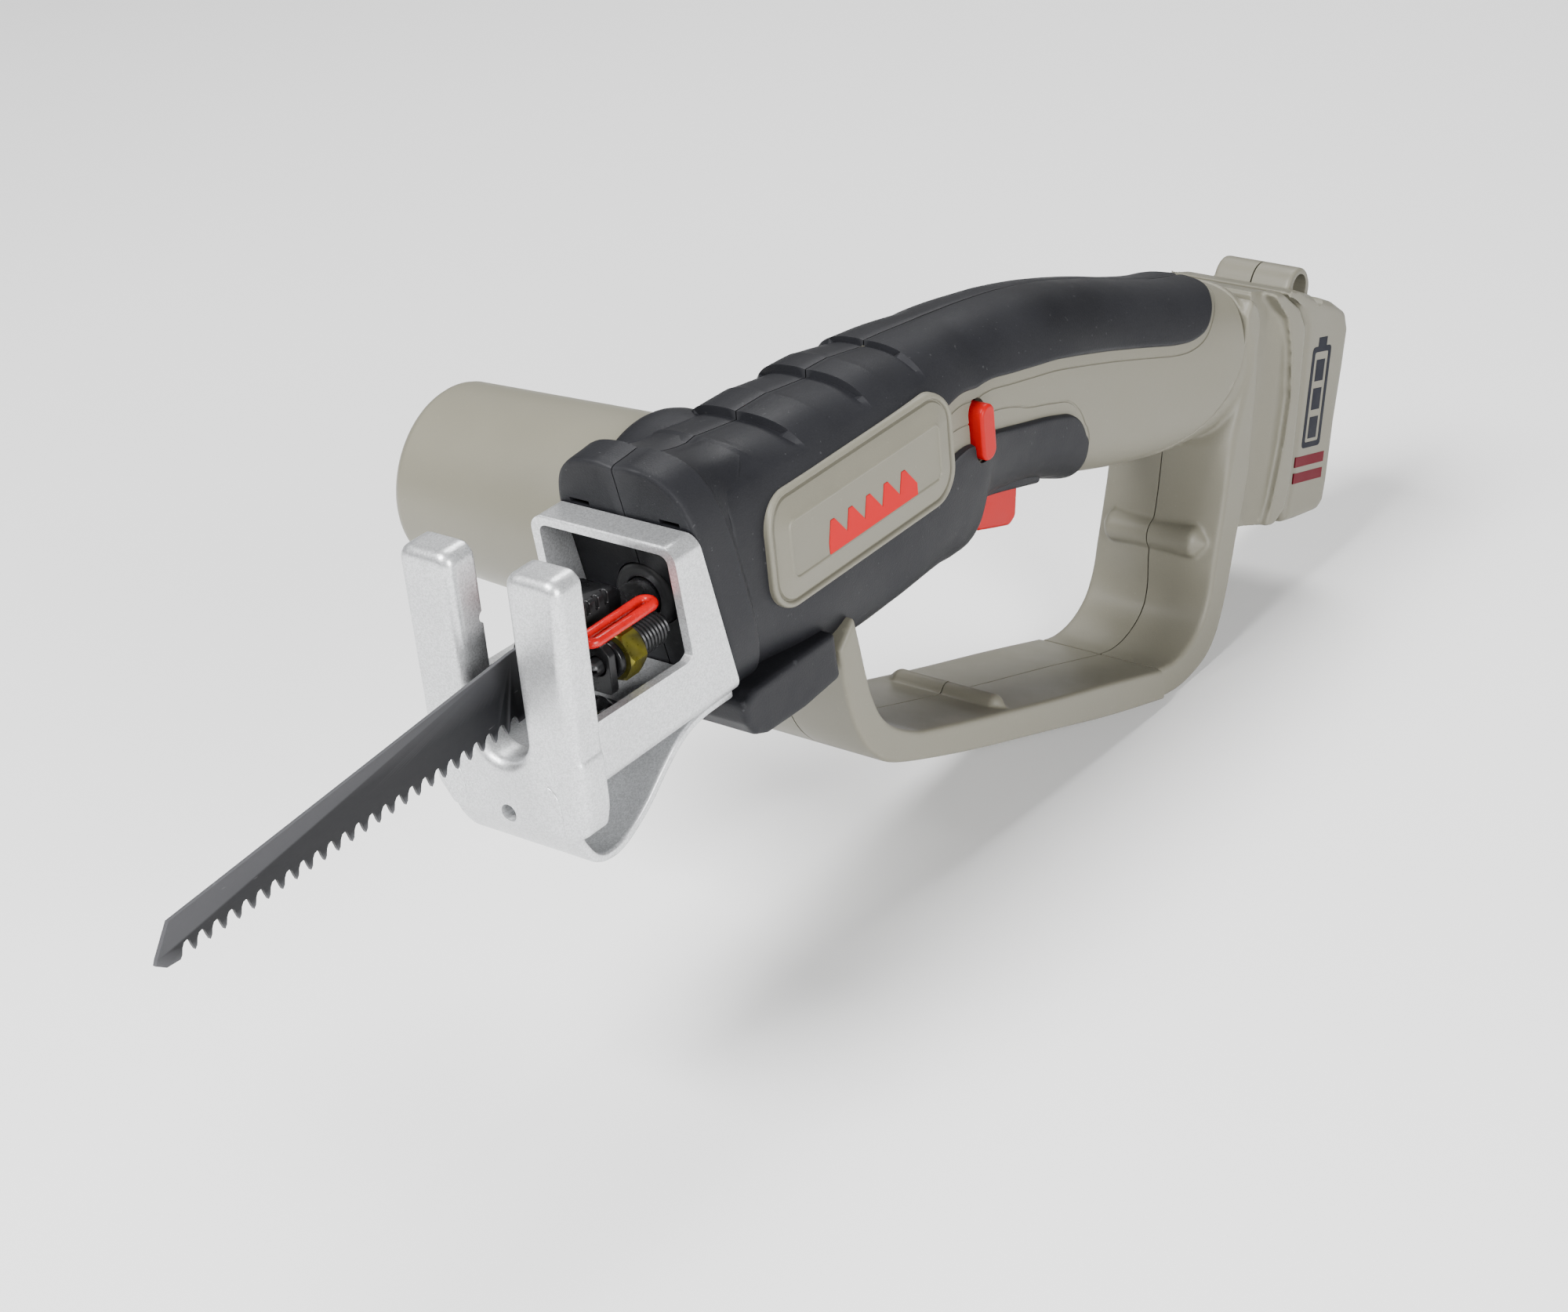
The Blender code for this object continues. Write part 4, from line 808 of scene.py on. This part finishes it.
def solid_body(off):
    """The barrel without the soft skin, as one solid."""
    loops = []
    for x in np.linspace(-8, -110, 40):
        ring = [body_point(x, v, 1, off) for v in np.linspace(0, math.pi, 33)]
        loops.append(ring + [(a, -b, c) for a, b, c in ring[::-1]])
    return rings(loops)


# ---------------------------------------------------------------- label panel

def panel_row(y, d, box, radius):
    """One outline of the badge plate, its upper edge curved in with the barrel."""
    x0, z0, x1, z1 = box
    outline = rounded(x0 + d, z0 + d, x1 - d, z1 - d, radius - d, 14)
    return [(x, y - 1.6 * (max(0, z - 8) / 9.8) ** 2, z) for x, z in outline]


def panel():
    """Raised badge plate on the left: bead, groove, sloping field and a plateau with a saw-tooth sign."""
    plate, plateau = (-91.3, -11, -19, 17.8), (-84.5, -3.9, -25.2, 11)
    bead = [(16.0, 0), (19.7, 0), (20.2, 0.12), (20.5, 0.4), (20.6, 0.8), (20.5, 1.2), (20.2, 1.45),
            (19.8, 1.55), (19.7, 1.75), (19.85, 1.95), (20.25, 2.2)]
    ridge = [(21.1, -0.35), (21.4, -0.05), (21.55, 0.15), (21.58, 0.35), (21.5, 0.6), (21.3, 0.75),
             (21.25, 1.0)]
    rows = [panel_row(y, d, plate, 8.5) for y, d in bead] + [panel_row(y, d, plateau, 2.4) for y, d in ridge]
    piece("panel_plate", [rings(rows)], "grey_shell", nodes=["label_panel"], angle=40)
    teeth = [(-39, -3.4), (-39, -0.4)]
    pitch = 7.0
    for k in range(5):
        x = -39 - pitch * k
        teeth += [(x - 1.2, 4.8), (x - 2.6, 4.8), (x - pitch, -0.4)]
    teeth += [(-74, -3.4)]
    piece("panel_sign", [prism(teeth, [(21.1, 0), (21.4, 0), (21.45, 0.1)])], "red_plastic", mat=PRINT_RED)


# ---------------------------------------------------------------- guard, head and pack

def guard_outline():
    return curve(GUARD_OUT, 1.5) + curve(GUARD_IN, 1.5)[::-1]


def cross_rib(x, z, radius, reach, side):
    """Half of a round rib along Y with a pointed end."""
    return lathe((x, 0, z), [(-side, 0.001), (-side, radius), (side * (reach - 3.4), radius),
                             (side * (reach - 2.4), radius * 0.82), (side * reach, 0.001)], sides=32)


def guard(side, tag):
    """Half of the D-shaped guard with a stiffening rib; it is built past the middle, then sliced there."""
    shapes = [prism(guard_outline(), half_levels(side, 20.3, 1.1)), cross_rib(-109, -78.9, 2.7, 18, side)]
    screws = [] if side > 0 else [screw_well(screw) for screw in SCREWS[3:]]
    slices = [middle_slice(-110, side), block((-181.6, 0, -108), (2, 60, 30))]
    piece(f"guard_skin_{tag}", shapes, "grey_shell", nodes=[f"guard_{tag}"], voxel=0.5, relax=3,
          late_cuts=screws + slices, angle=50)


def middle_slice(x, side):
    """Cutter for what lies past the joint between left and right halves."""
    return block((x, -side * (12 - 0.2), -60), (160, 24, 160))


def boot():
    """Soft shoe over the guard's front end."""
    shape = prism(fillet(BOOT, 1.4, 5), edge_levels(-20.6, 20.6, 1.1, 1.1))
    piece("guard_shoe", [shape], "soft_grip", nodes=["guard_boot"], voxel=0.45, relax=2, angle=50,
          cuts=[prism(guard_outline(), [(-26, -0.3), (26, -0.3)])])


def post_loop(y, d):
    """Outline of the post at one level: its upper end rounds off broadly toward the tube and the pack."""
    outline = curve(POST_OUT, 1.6) + curve(POST_IN, 1.6)[::-1]
    broad = 2.8 * (1 - math.sqrt(1 - (min(max(y - 13, 0), 6) / 6) ** 2))
    loop = []
    for (x, z), (xi, zi) in zip(outline, inset(outline, 1)):
        move = d + broad * min(1, max(0, (z + 64) / 14)) * min(1, max(0, (-24 - z) / 8))
        loop.append((x + (xi - x) * move, z + (zi - z) * move))
    return loop


def dock_collar(side):
    """Collar that frames the pack: a ramp that rises from the neck, then a raised rim."""
    base = fillet(COLLAR, 1.6)
    loops = []
    for y, front in ((-1, -30), (15.2, -30), (15.25, -14), (15.8, -12), (16.6, -10), (17.4, -8)):
        loop = []
        for x, z in base:
            behind = -(x - BAY[0]) * math.cos(TILT) - (z - BAY[1]) * math.sin(TILT)
            push = max(0, front - behind)
            loop.append((x - push * math.cos(TILT), side * y, z - push * math.sin(TILT)))
        loops.append(loop)
    return [rings(loops), prism(fillet(RIM, 1.2), half_levels(side, 19.6, 1.0))]


def tube_section(x, side, angles):
    """Section of the handle's end; past the body's last section it shrinks into the neck."""
    t = max(0, (-231.9 - x) / 8)
    ring = [body_point(max(x, -231.9), v, side, 0) for v in angles]
    ring += [(x, -side, body_point(max(x, -231.9), v, 1, 0)[2]) for v in (math.pi, 0)]
    return [(x, y * (1 - 0.1 * t * t), -33 + (z + 33) * (1 - 0.32 * t * t)) for _, y, z in ring]


def rear_head(side, tag):
    """Rear post of the guard with the ring round the handle's end, the neck and the dock collar."""
    inner_start = len(curve(POST_OUT, 1.6))
    loops = []
    rows = [(y, 0) for y in np.linspace(-1, 18.0, 16)] + [(18.6, 0.2), (18.9, 0.5), (19, 0.9)]
    for y, d in rows:
        crown = 4.0 * (1 - (y / 19) ** 2)
        loop = []
        for k, (x, z) in enumerate(post_loop(y, d)):
            swell = crown * min(1, max(0, (z + 99) / 15)) * min(1, max(0, (-46 - z) / 8))
            loop.append((x + (swell if k >= inner_start else 0), side * y, z))
        loops.append(loop)
    angles = even_angles(0, math.pi, 60, -210)
    xs = list(np.linspace(-174, -231.9, 34)) + [-233.5, -235.5, -237.5, -239.5]
    shapes = [rings(loops), rings([tube_section(x, side, angles) for x in xs]),
              prism(fillet(NECK, 2), half_levels(side, 15.2, 0.6)), *dock_collar(side),
              cross_rib(-211.6, -79.6, 4.5, 16.5, side)]
    front = curve(SEAM[:-1], 1.5) + [(-150, -45.2), (-150, 40), (-232, 40)]
    bay, contacts = tilted(-28.5, 14, -24.4, 21.4, 28.8), tilted(-31.9, -28, -4.3, 18.3, 26.6)
    wells = [screw_well(SCREWS[2])] if side < 0 else []
    piece(f"head_skin_{tag}", shapes, "grey_shell", nodes=[f"rear_head_{tag}"], voxel=0.5, relax=4, angle=50,
          cuts=[prism([tuple(p) for p in inset(front, -0.28)], [(-40, 0), (40, 0)])],
          late_cuts=[bay, contacts, middle_slice(-220, side), block((-180.35, 0, -108), (2, 60, 30))] + wells)


def battery():
    """The pack's case with its hang loop, latch pocket and prints."""
    case = prism(fillet(BATTERY, 1.2, 4), edge_levels(-19.2, 19.2, 2.6, 2.6, 5))
    arch = rod((-273.2, 0, -28.8), -12, 12, 6.4, sides=48, soft=0.8)
    tunnel = rod((-273.4, 0, -28.0), -30, 30, 3.9, sides=40)
    dip = rod((-284.5, 0, -31.2), -9, 9, 4.2, sides=40, soft=1.5)
    slit = rod((-273.2, 0, -28.8), -0.25, 0.25, 8, sides=48)
    pocket = tilted(-12, 26.6, -24, 21, 34.4)
    latch = tilted(9, 20, -40, -26.6, 14.6)
    piece("pack_case", [case, arch], "grey_shell", "battery", ["battery_case"], voxel=0.5, relax=3,
          late_cuts=[tunnel, dip, slit, pocket, latch], angle=50)
    levels = [(18.9, 0), (19.24, 0), (19.28, 0.08)]
    for k, top in enumerate((-15.2, -19.9)):
        bar = prism(pack_patch(5.5, 22.5, top, top - 3), levels)
        piece(f"pack_bar_{k + 1}", [bar], "grey_shell", "battery", mat=PRINT_WINE)
    outline, terminal = fillet(pack_patch(8, 19, 16, -13), 1.5), pack_patch(11, 16, 18.6, 15.9)
    hole = fillet(pack_patch(9.6, 17.4, 14.4, -11.4), 0.8)
    piece("pack_sign", [prism(outline, levels), prism(terminal, levels)], "black_plastic", "battery",
          mat=PRINT_DARK, cuts=[prism(hole, [(10, 0), (30, 0)])])
    for k in range(3):
        top = 12.2 - 8.2 * k
        bar = prism(pack_patch(11, 16, top, top - 6.2), levels)
        piece(f"pack_sign_bar_{k + 1}", [bar], "black_plastic", "battery", mat=PRINT_DARK)


# ---------------------------------------------------------------- bracket, fork, clamp and blade

def bracket():
    """Bent hoop round the nose whose lower half runs forward as a channel to the fork."""
    side_view = fillet([(4.9, 21.4), (13.4, 21.4), (10.6, -5.4), (12.6, -6.4), (FORK_X - 9.2, -5.6),
                        (FORK_X - 9.2, -21.8), (-4.6, -22.0)], 1.0, 3)
    outer = rounded(-20.2, -22.0, 20.2, 21.4, 4.0, 8)
    inner = rounded(-17.9, -19.7, 17.9, 19.1, 2.2, 6)
    length = [(-30, 0), (60, 0)]
    piece("bracket_skin", [prism(side_view, [(-30, 0), (30, 0)])], "silver_paint", nodes=["bracket"],
          bevel=0.45, keep=[prism(outer, length, "x")],
          cuts=[prism(inner, length, "x"), rod((24, 0, -30), 0, 20, 3.3, "z", 32)])
    washer = [(-19.6, 3.1), (-19.6, 7.4), (-19.3, 7.7), (-18.7, 7.7), (-18.5, 7.4), (-18.5, 3.1)]
    piece("shoe_washer", [lathe((24, 0, 0), washer, "z", 48)], "bright_steel")
    head = [(-25.6, 0.001), (-25.6, 2.9), (-18.4, 2.9), (-18.4, 5.2), (-17.2, 5.4), (-16.2, 4.4),
            (-16.0, 3.2), (-16.0, 0.001)]
    piece("shoe_bolt_head", [lathe((24, 0, 0), head, "z", 40)], "bright_steel", nodes=["shoe_bolt"],
          cuts=[block((24, 0, -16.2), (7, 1.2, 1.4))])


def fork_outline():
    """Front view of the fork: two prongs with a round slot between them and a shield below."""
    w, top, slot, floor = 22.0, 31.2, 7.4, -8.6
    half = arc(w - 3.4, top - 3.4, 3.4, 0, 90, 10) + arc(slot + 3.4, top - 3.4, 3.4, 90, 180, 10)
    bottom = arc(0, floor, slot, 0, -180, 32)
    left = [(-y, z) for y, z in half[::-1]]
    base = fillet([(-w, -10), (-w, -20), (-w + 1.2, -26), (-w + 5, -31.5), (w - 6, -32.5), (w - 1.2, -29.5),
                   (w, -24), (w, -10)], 3.0, 5)
    start = next(i for i, p in enumerate(base) if p[1] < -11)
    end = len(base) - next(i for i, p in enumerate(base[::-1]) if p[1] < -11)
    return half + bottom + left + base[start:end]


def fork():
    """Dished sheet fork that straddles the blade, with its strip bent back under the bracket."""
    shape = fork_outline()
    inside = [(FORK_X - 2.5, 2.8), (FORK_X - 3.4, 2.0), (FORK_X - 8.6, 2.0)]
    front = prism(shape, inside + edge_levels(FORK_X - 8.6, FORK_X, 0, 2.6, 8), "x")
    outer = [(-1.0, -29), (-2.4, -33.6), (-6.5, -39.4), (-12, -41.6), (-18, -40.8), (-26, -36.6),
             (-34, -30.4), (-40, -26.6), (-47, -24.7), (-58.2, -24.6)]
    inner = [(-58.2, -22.4), (-47, -22.5), (-39.3, -24.4), (-32.8, -28.5), (-24.8, -34.7), (-17.4, -38.6),
             (-12, -39.4), (-8, -37.8), (-4.6, -32.6), (-3.2, -29)]
    outer, inner = ([(FORK_X + x, z) for x, z in line] for line in (outer, inner))
    strip = prism(curve(outer, 1.5) + curve(inner, 1.5), edge_levels(-17, 17, 0.5, 0.5, 3))
    hole = rod((0, 0, -28.4), 30, 60, 2.1, "x", 32)
    creases = [tube([(FORK_X + 0.1, y, z) for y, z in curve(line, 1)], 0.35)
               for line in ([(12.4, -18.5), (14.2, -19.6), (15.3, -22.5), (15.6, -31)],
                            [(-15.4, -19), (-12.8, -20.5), (-12, -24), (-11.8, -31.5)])]
    notch = rod((FORK_X - 8.8, 0, 13.5), -24, -6, 1.6, sides=32)
    piece("fork_skin", [front, strip], "silver_paint", nodes=["branch_fork"], voxel=0.42, relax=3,
          late_cuts=[hole, *creases, notch], angle=50)


def clamp_body():
    """Body of the blade clamp with its lug, ribs, blade slot and bolt hole."""
    side_view = fillet([(13.3, -7.5), (13.3, 8.2), (16, 10.2), (33, 10.2), (38, 7), (40, 3), (40, -6),
                        (36, -9.4), (16, -9.4)], 1.4, 4)
    body = prism(side_view, edge_levels(-5.6, 4.2, 1.2, 1.0))
    lug_outline = fillet([(2, -7), (14.4, -7), (14.4, 2.6), (12.4, 4.6), (2, 4.6)], 1.6)
    lug = prism(lug_outline, [(29.0, 0), (31.2, 0)], "x")
    ribs = [block((x, 4.4, 9.0), (1.0, 3.0, 3.6)) for x in (18.5, 21.5, 24.5)]
    slot = block((33, 0, 0.1), (34, 1.6, 17.4))
    hole = rod((0, *BOLT), 10, 50, 2.3, "x", 32)
    piece("clamp_skin", [body, lug], "black_steel", "stroke", ["clamp_body"], join=True,
          cuts=[slot, hole] + ribs, bevel=0.3)


def clamp_fasteners():
    """Slotted bolt, washer and hex nut of the blade clamp."""
    bolt_axis = (0, *BOLT)
    bolt = [(8.6, 0.001), (8.6, 1.7), (8.9, 2.0), (32.6, 2.0), (33.4, 1.6), (34, 1.0), (34, 0.001)]
    piece("clamp_bolt_skin", [lathe(bolt_axis, bolt, "x", 36)], "black_steel", "stroke", ["clamp_bolt"],
          cuts=[block((33.8, *BOLT), (1.2, 5, 0.7))])
    washer = soft_profile([(26.8, 2.3), (26.8, 4.6), (28.2, 4.6), (28.6, 4.0), (28.6, 2.3)], 0.3)
    piece("clamp_washer_skin", [lathe(bolt_axis, washer, "x", 48)], "black_steel", "stroke", ["clamp_washer"])
    hexagon = arc(*BOLT, 6.2, 0, 360, 6)[:-1]
    crown = [(20, 0.001), (20, 4.8), (21, 5.5), (21.8, 6.3), (25.7, 6.3), (26.5, 5.5), (28, 4.6), (28, 0.001)]
    piece("clamp_nut_skin", [prism(hexagon, [(21.0, 0), (26.5, 0)], "x")], "zinc_yellow", "stroke",
          ["clamp_nut"], keep=[lathe(bolt_axis, crown, "x", 48)], cuts=[rod(bolt_axis, 10, 40, 2.6, "x", 32)])


def clamp():
    """Blade clamp on the plunger: body, fasteners, spring and the red wire lever."""
    clamp_body()
    clamp_fasteners()
    piece("clamp_spring_skin", [helix(11.2, 8.8, 3.5, 0.55)], "black_steel", "stroke", ["clamp_spring"])
    lever = tube(lever_path(), 1.2, 16, closed=True)
    piece("clamp_lever_skin", [lever], "red_paint", "lever", ["clamp_lever"])
    bar = [(-36, 0.001), (-36, 4.6), (12.2, 4.6), (13, 3.8), (13, 0.001)]
    yoke = prism(rounded(-59, -13, -32, 13, 3), [(-1.4, 0), (3.2, 0)])
    piece("plunger_skin", [lathe((0, 0, 0), bar, "x", 48), yoke], "bright_steel", "stroke", ["plunger"],
          join=True, cuts=[prism(rounded(-56, -10.4, -50, 10.4, 2.9), [(-6, 0), (8, 0)])])


def helix(start, length, radius, wire):
    """A spring's wire round the clamp's bolt."""
    turns, steps = 8, 28
    loops = []
    for k in range(turns * steps + 1):
        turn = 2 * math.pi * k / steps
        out = Vector((0, math.cos(turn), math.sin(turn)))
        centre = Vector((start + length * k / (turns * steps), *BOLT)) + out * radius
        loops.append([centre + (out * math.cos(a) + Vector((1, 0, 0)) * math.sin(a)) * wire
                      for a in (2 * math.pi * k / 8 for k in range(8))])
    return rings(loops)


def lever_path():
    path = []
    for cx, a0, a1 in ((LEVER_X[0], 90, 270), (LEVER_X[1], 270, 450)):
        path += [(x, y, LEVER_Z) for x, y in arc(cx, LEVER_Y, 1.9, a0, a1, 12)]
    return path


def blade():
    """Tapered blade with curved gullets and alternately ground teeth; the shank runs back into the clamp."""
    count, first, last = 25, 46.0, 147.0
    pitch = (last - first) / count
    spine = [(17, 7.4), (46, 7.4), (148.2, -1.4), (152.6, -7.6), (153.2, -8.8), (150.6, -10.6)]
    teeth = []
    for k in range(count):
        x = last - k * pitch
        base = -9.2 - 0.4 * (x - first) / (last - first)
        teeth += [(x, base - 1.2), (x - 0.16 * pitch, base - 0.5), (x - 0.26 * pitch, base + 1.0),
                  (x - 0.40 * pitch, base + 1.8), (x - 0.60 * pitch, base + 2.0),
                  (x - 0.78 * pitch, base + 1.4), (x - 0.9 * pitch, base - 0.2)]
    outline = spine + teeth + [(44, -9.2), (40, -7.6), (17, -7.6)]
    piece("blade_skin", [prism(outline, [(-0.5, 0.12), (-0.38, 0), (0.38, 0), (0.5, 0.12)])], "blade_steel",
          "saw_blade", ["blade"], angle=30)


# ---------------------------------------------------------------- controls and fasteners

def controls():
    """Trigger, lock-off button, housing screws and the seal round the plunger."""
    outline = [(-108.6, -21), (-112.2, -27.5), (-115.4, -33.6), (-120.6, -37.4), (-128.4, -40), (-134, -41.8),
               (-137, -40.4), (-138.2, -34), (-139, -26), (-139, -20.6), (-124, -17), (-112, -15.6),
               (-108.6, -17.4)]
    trigger = prism(fillet(outline, 2.5, 5), edge_levels(-5.6, 5.6, 1.3, 1.3, 5))
    piece("trigger_skin", [trigger], "red_plastic", "trigger", ["trigger"], angle=50)
    pill = rounded(-108.8, -8.3, -103.0, 6.3, 2.85, 10)
    button = prism(pill, [(10.2, 0)] + edge_levels(19.0, 20.6, 0, 0.9))
    piece("lock_skin", [button], "red_plastic", "lock_off", ["lock_button"], angle=50)
    head = [(-0.2, 0.001), (-0.2, 2.1), (0.1, 2.5), (0.5, 2.6), (2.0, 2.6), (2.0, 1.3), (7, 1.3), (7, 0.001)]
    for k, (x, z, y) in enumerate(SCREWS):
        star = [block((x, y, z), (2.6, 1.6, 0.8), math.radians(a)) for a in (0, 60, 120)]
        piece(f"screw_{k + 1}", [lathe((x, y, z), head, sides=36)], "bright_steel",
              nodes=[f"housing_screw_{k + 1}"], cuts=star)
    seal = soft_profile([(-1.7, 4.9), (-1.7, 8.1), (1.2, 8.1), (1.9, 7.2), (1.9, 4.9)], 0.5)
    piece("nose_seal_skin", [lathe((0, 0, 0), seal, "x", 64)], "black_plastic", nodes=["nose_seal"])


def trigger_lip(side, tag):
    """Flared lip of the soft grip beside the trigger: down the barrel's end, then back to the handle."""
    path = [(-106.6, 8.2, -36.0), (-108.6, 8.6, -32.0), (-110.8, 8.8, -28.2), (-114, 8.9, -26.6),
            (-119, 8.9, -26.6), (-126, 8.9, -28.2), (-133, 8.8, -30.2), (-139, 8.5, -32.0),
            (-143.6, 7.8, -33.6)]
    inner = [(x, y - 3.4, z + 0.6) for x, y, z in path]
    loops = []
    for (x, y, z), (xi, yi, zi) in zip(curve(path, 1.2), curve(inner, 1.2)):
        loop = [(x, y + 0.5, z + 0.4), (x, y + 1.1, z + 1.2), (x, y + 1.4, z + 4.5), (xi, yi + 2.6, zi + 5.0),
                (xi, yi + 1.2, zi + 0.6), (x, y - 0.5, z)]
        loops.append([(a, side * b, c) for a, b, c in loop])
    piece(f"trigger_lip_{tag}", [rings(loops)], "soft_grip", voxel=0.4, relax=2, angle=50)


# ---------------------------------------------------------------- stage

def stage():
    """White floor, dim white surroundings and three square lights."""
    bm = bmesh.new()
    bmesh.ops.create_grid(bm, x_segments=2, y_segments=2, size=6.0)
    mesh = bpy.data.meshes.new("floor")
    bm.to_mesh(mesh)
    bm.free()
    floor = bpy.data.objects.new("floor", mesh)
    bpy.context.scene.collection.objects.link(floor)
    paper = surface("pale_floor", (0.90, 0.90, 0.90), 0.9, mottle=0.004, patch=3, grain=60, depth=0.01)
    mesh.materials.append(paper)
    floor.location.z = -0.0005
    world = bpy.data.worlds.new("studio")
    bpy.context.scene.world = world
    world.use_nodes = True
    background = world.node_tree.nodes["Background"].inputs
    background["Color"].default_value = (1, 1, 1, 1)
    background["Strength"].default_value = 0.15
    for name, place, size, power in (("key", (0.4, 1.2, 0.5), 0.6, 27), ("top", (0.85, -0.15, 1.3), 0.7, 50),
                                     ("rim", (-0.9, -0.3, 1.2), 0.6, 14)):
        light = bpy.data.lights.new(name, "AREA")
        light.shape, light.size, light.energy = "SQUARE", size, power
        lamp = bpy.data.objects.new(name, light)
        bpy.context.scene.collection.objects.link(lamp)
        lamp.location = place
        lamp.rotation_mode = "QUATERNION"
        lamp.rotation_quaternion = (Vector((0, 0, 0.06)) - lamp.location).to_track_quat("-Z", "Y")


def camera():
    """The picture's viewpoint: in front, to the left and above, with a slight roll."""
    data = bpy.data.cameras.new("camera")
    data.lens, data.sensor_width = 75.6, 36.0
    cam = bpy.data.objects.new("camera", data)
    bpy.context.scene.collection.objects.link(cam)
    bpy.context.scene.camera = cam
    forward = Vector((-0.684, -0.558, -0.471)).normalized()
    down = Vector((0.426, 0.219, -0.8775))
    down = (down - forward * down.dot(forward)).normalized()
    right = down.cross(forward)
    turn = Matrix((right, -down, -forward)).transposed().to_4x4()
    cam.matrix_world = Matrix.Translation(DATUM + Vector((485.78, 433.0, 327.88)) * MM) @ turn
    data.clip_start, data.clip_end = 0.05, 20


def finish_nodes():
    """Give every CAD node that still shows the finish of its slot."""
    for row in frame["record"]["subparts"]:
        node = frame["nodes"][row["node"]]
        node.data.materials.clear()
        node.data.materials.append(SLOT_FINISH[row["material_slot"]])


finish_nodes()
for side, tag in ((1, "left"), (-1, "right")):
    handle_shell(side, tag)
    soft_skin(side, tag)
    nose(side, tag)
    guard(side, tag)
    rear_head(side, tag)
    trigger_lip(side, tag)
motor_cover()
panel()
boot()
battery()
bracket()
fork()
clamp()
blade()
controls()
stage()
camera()
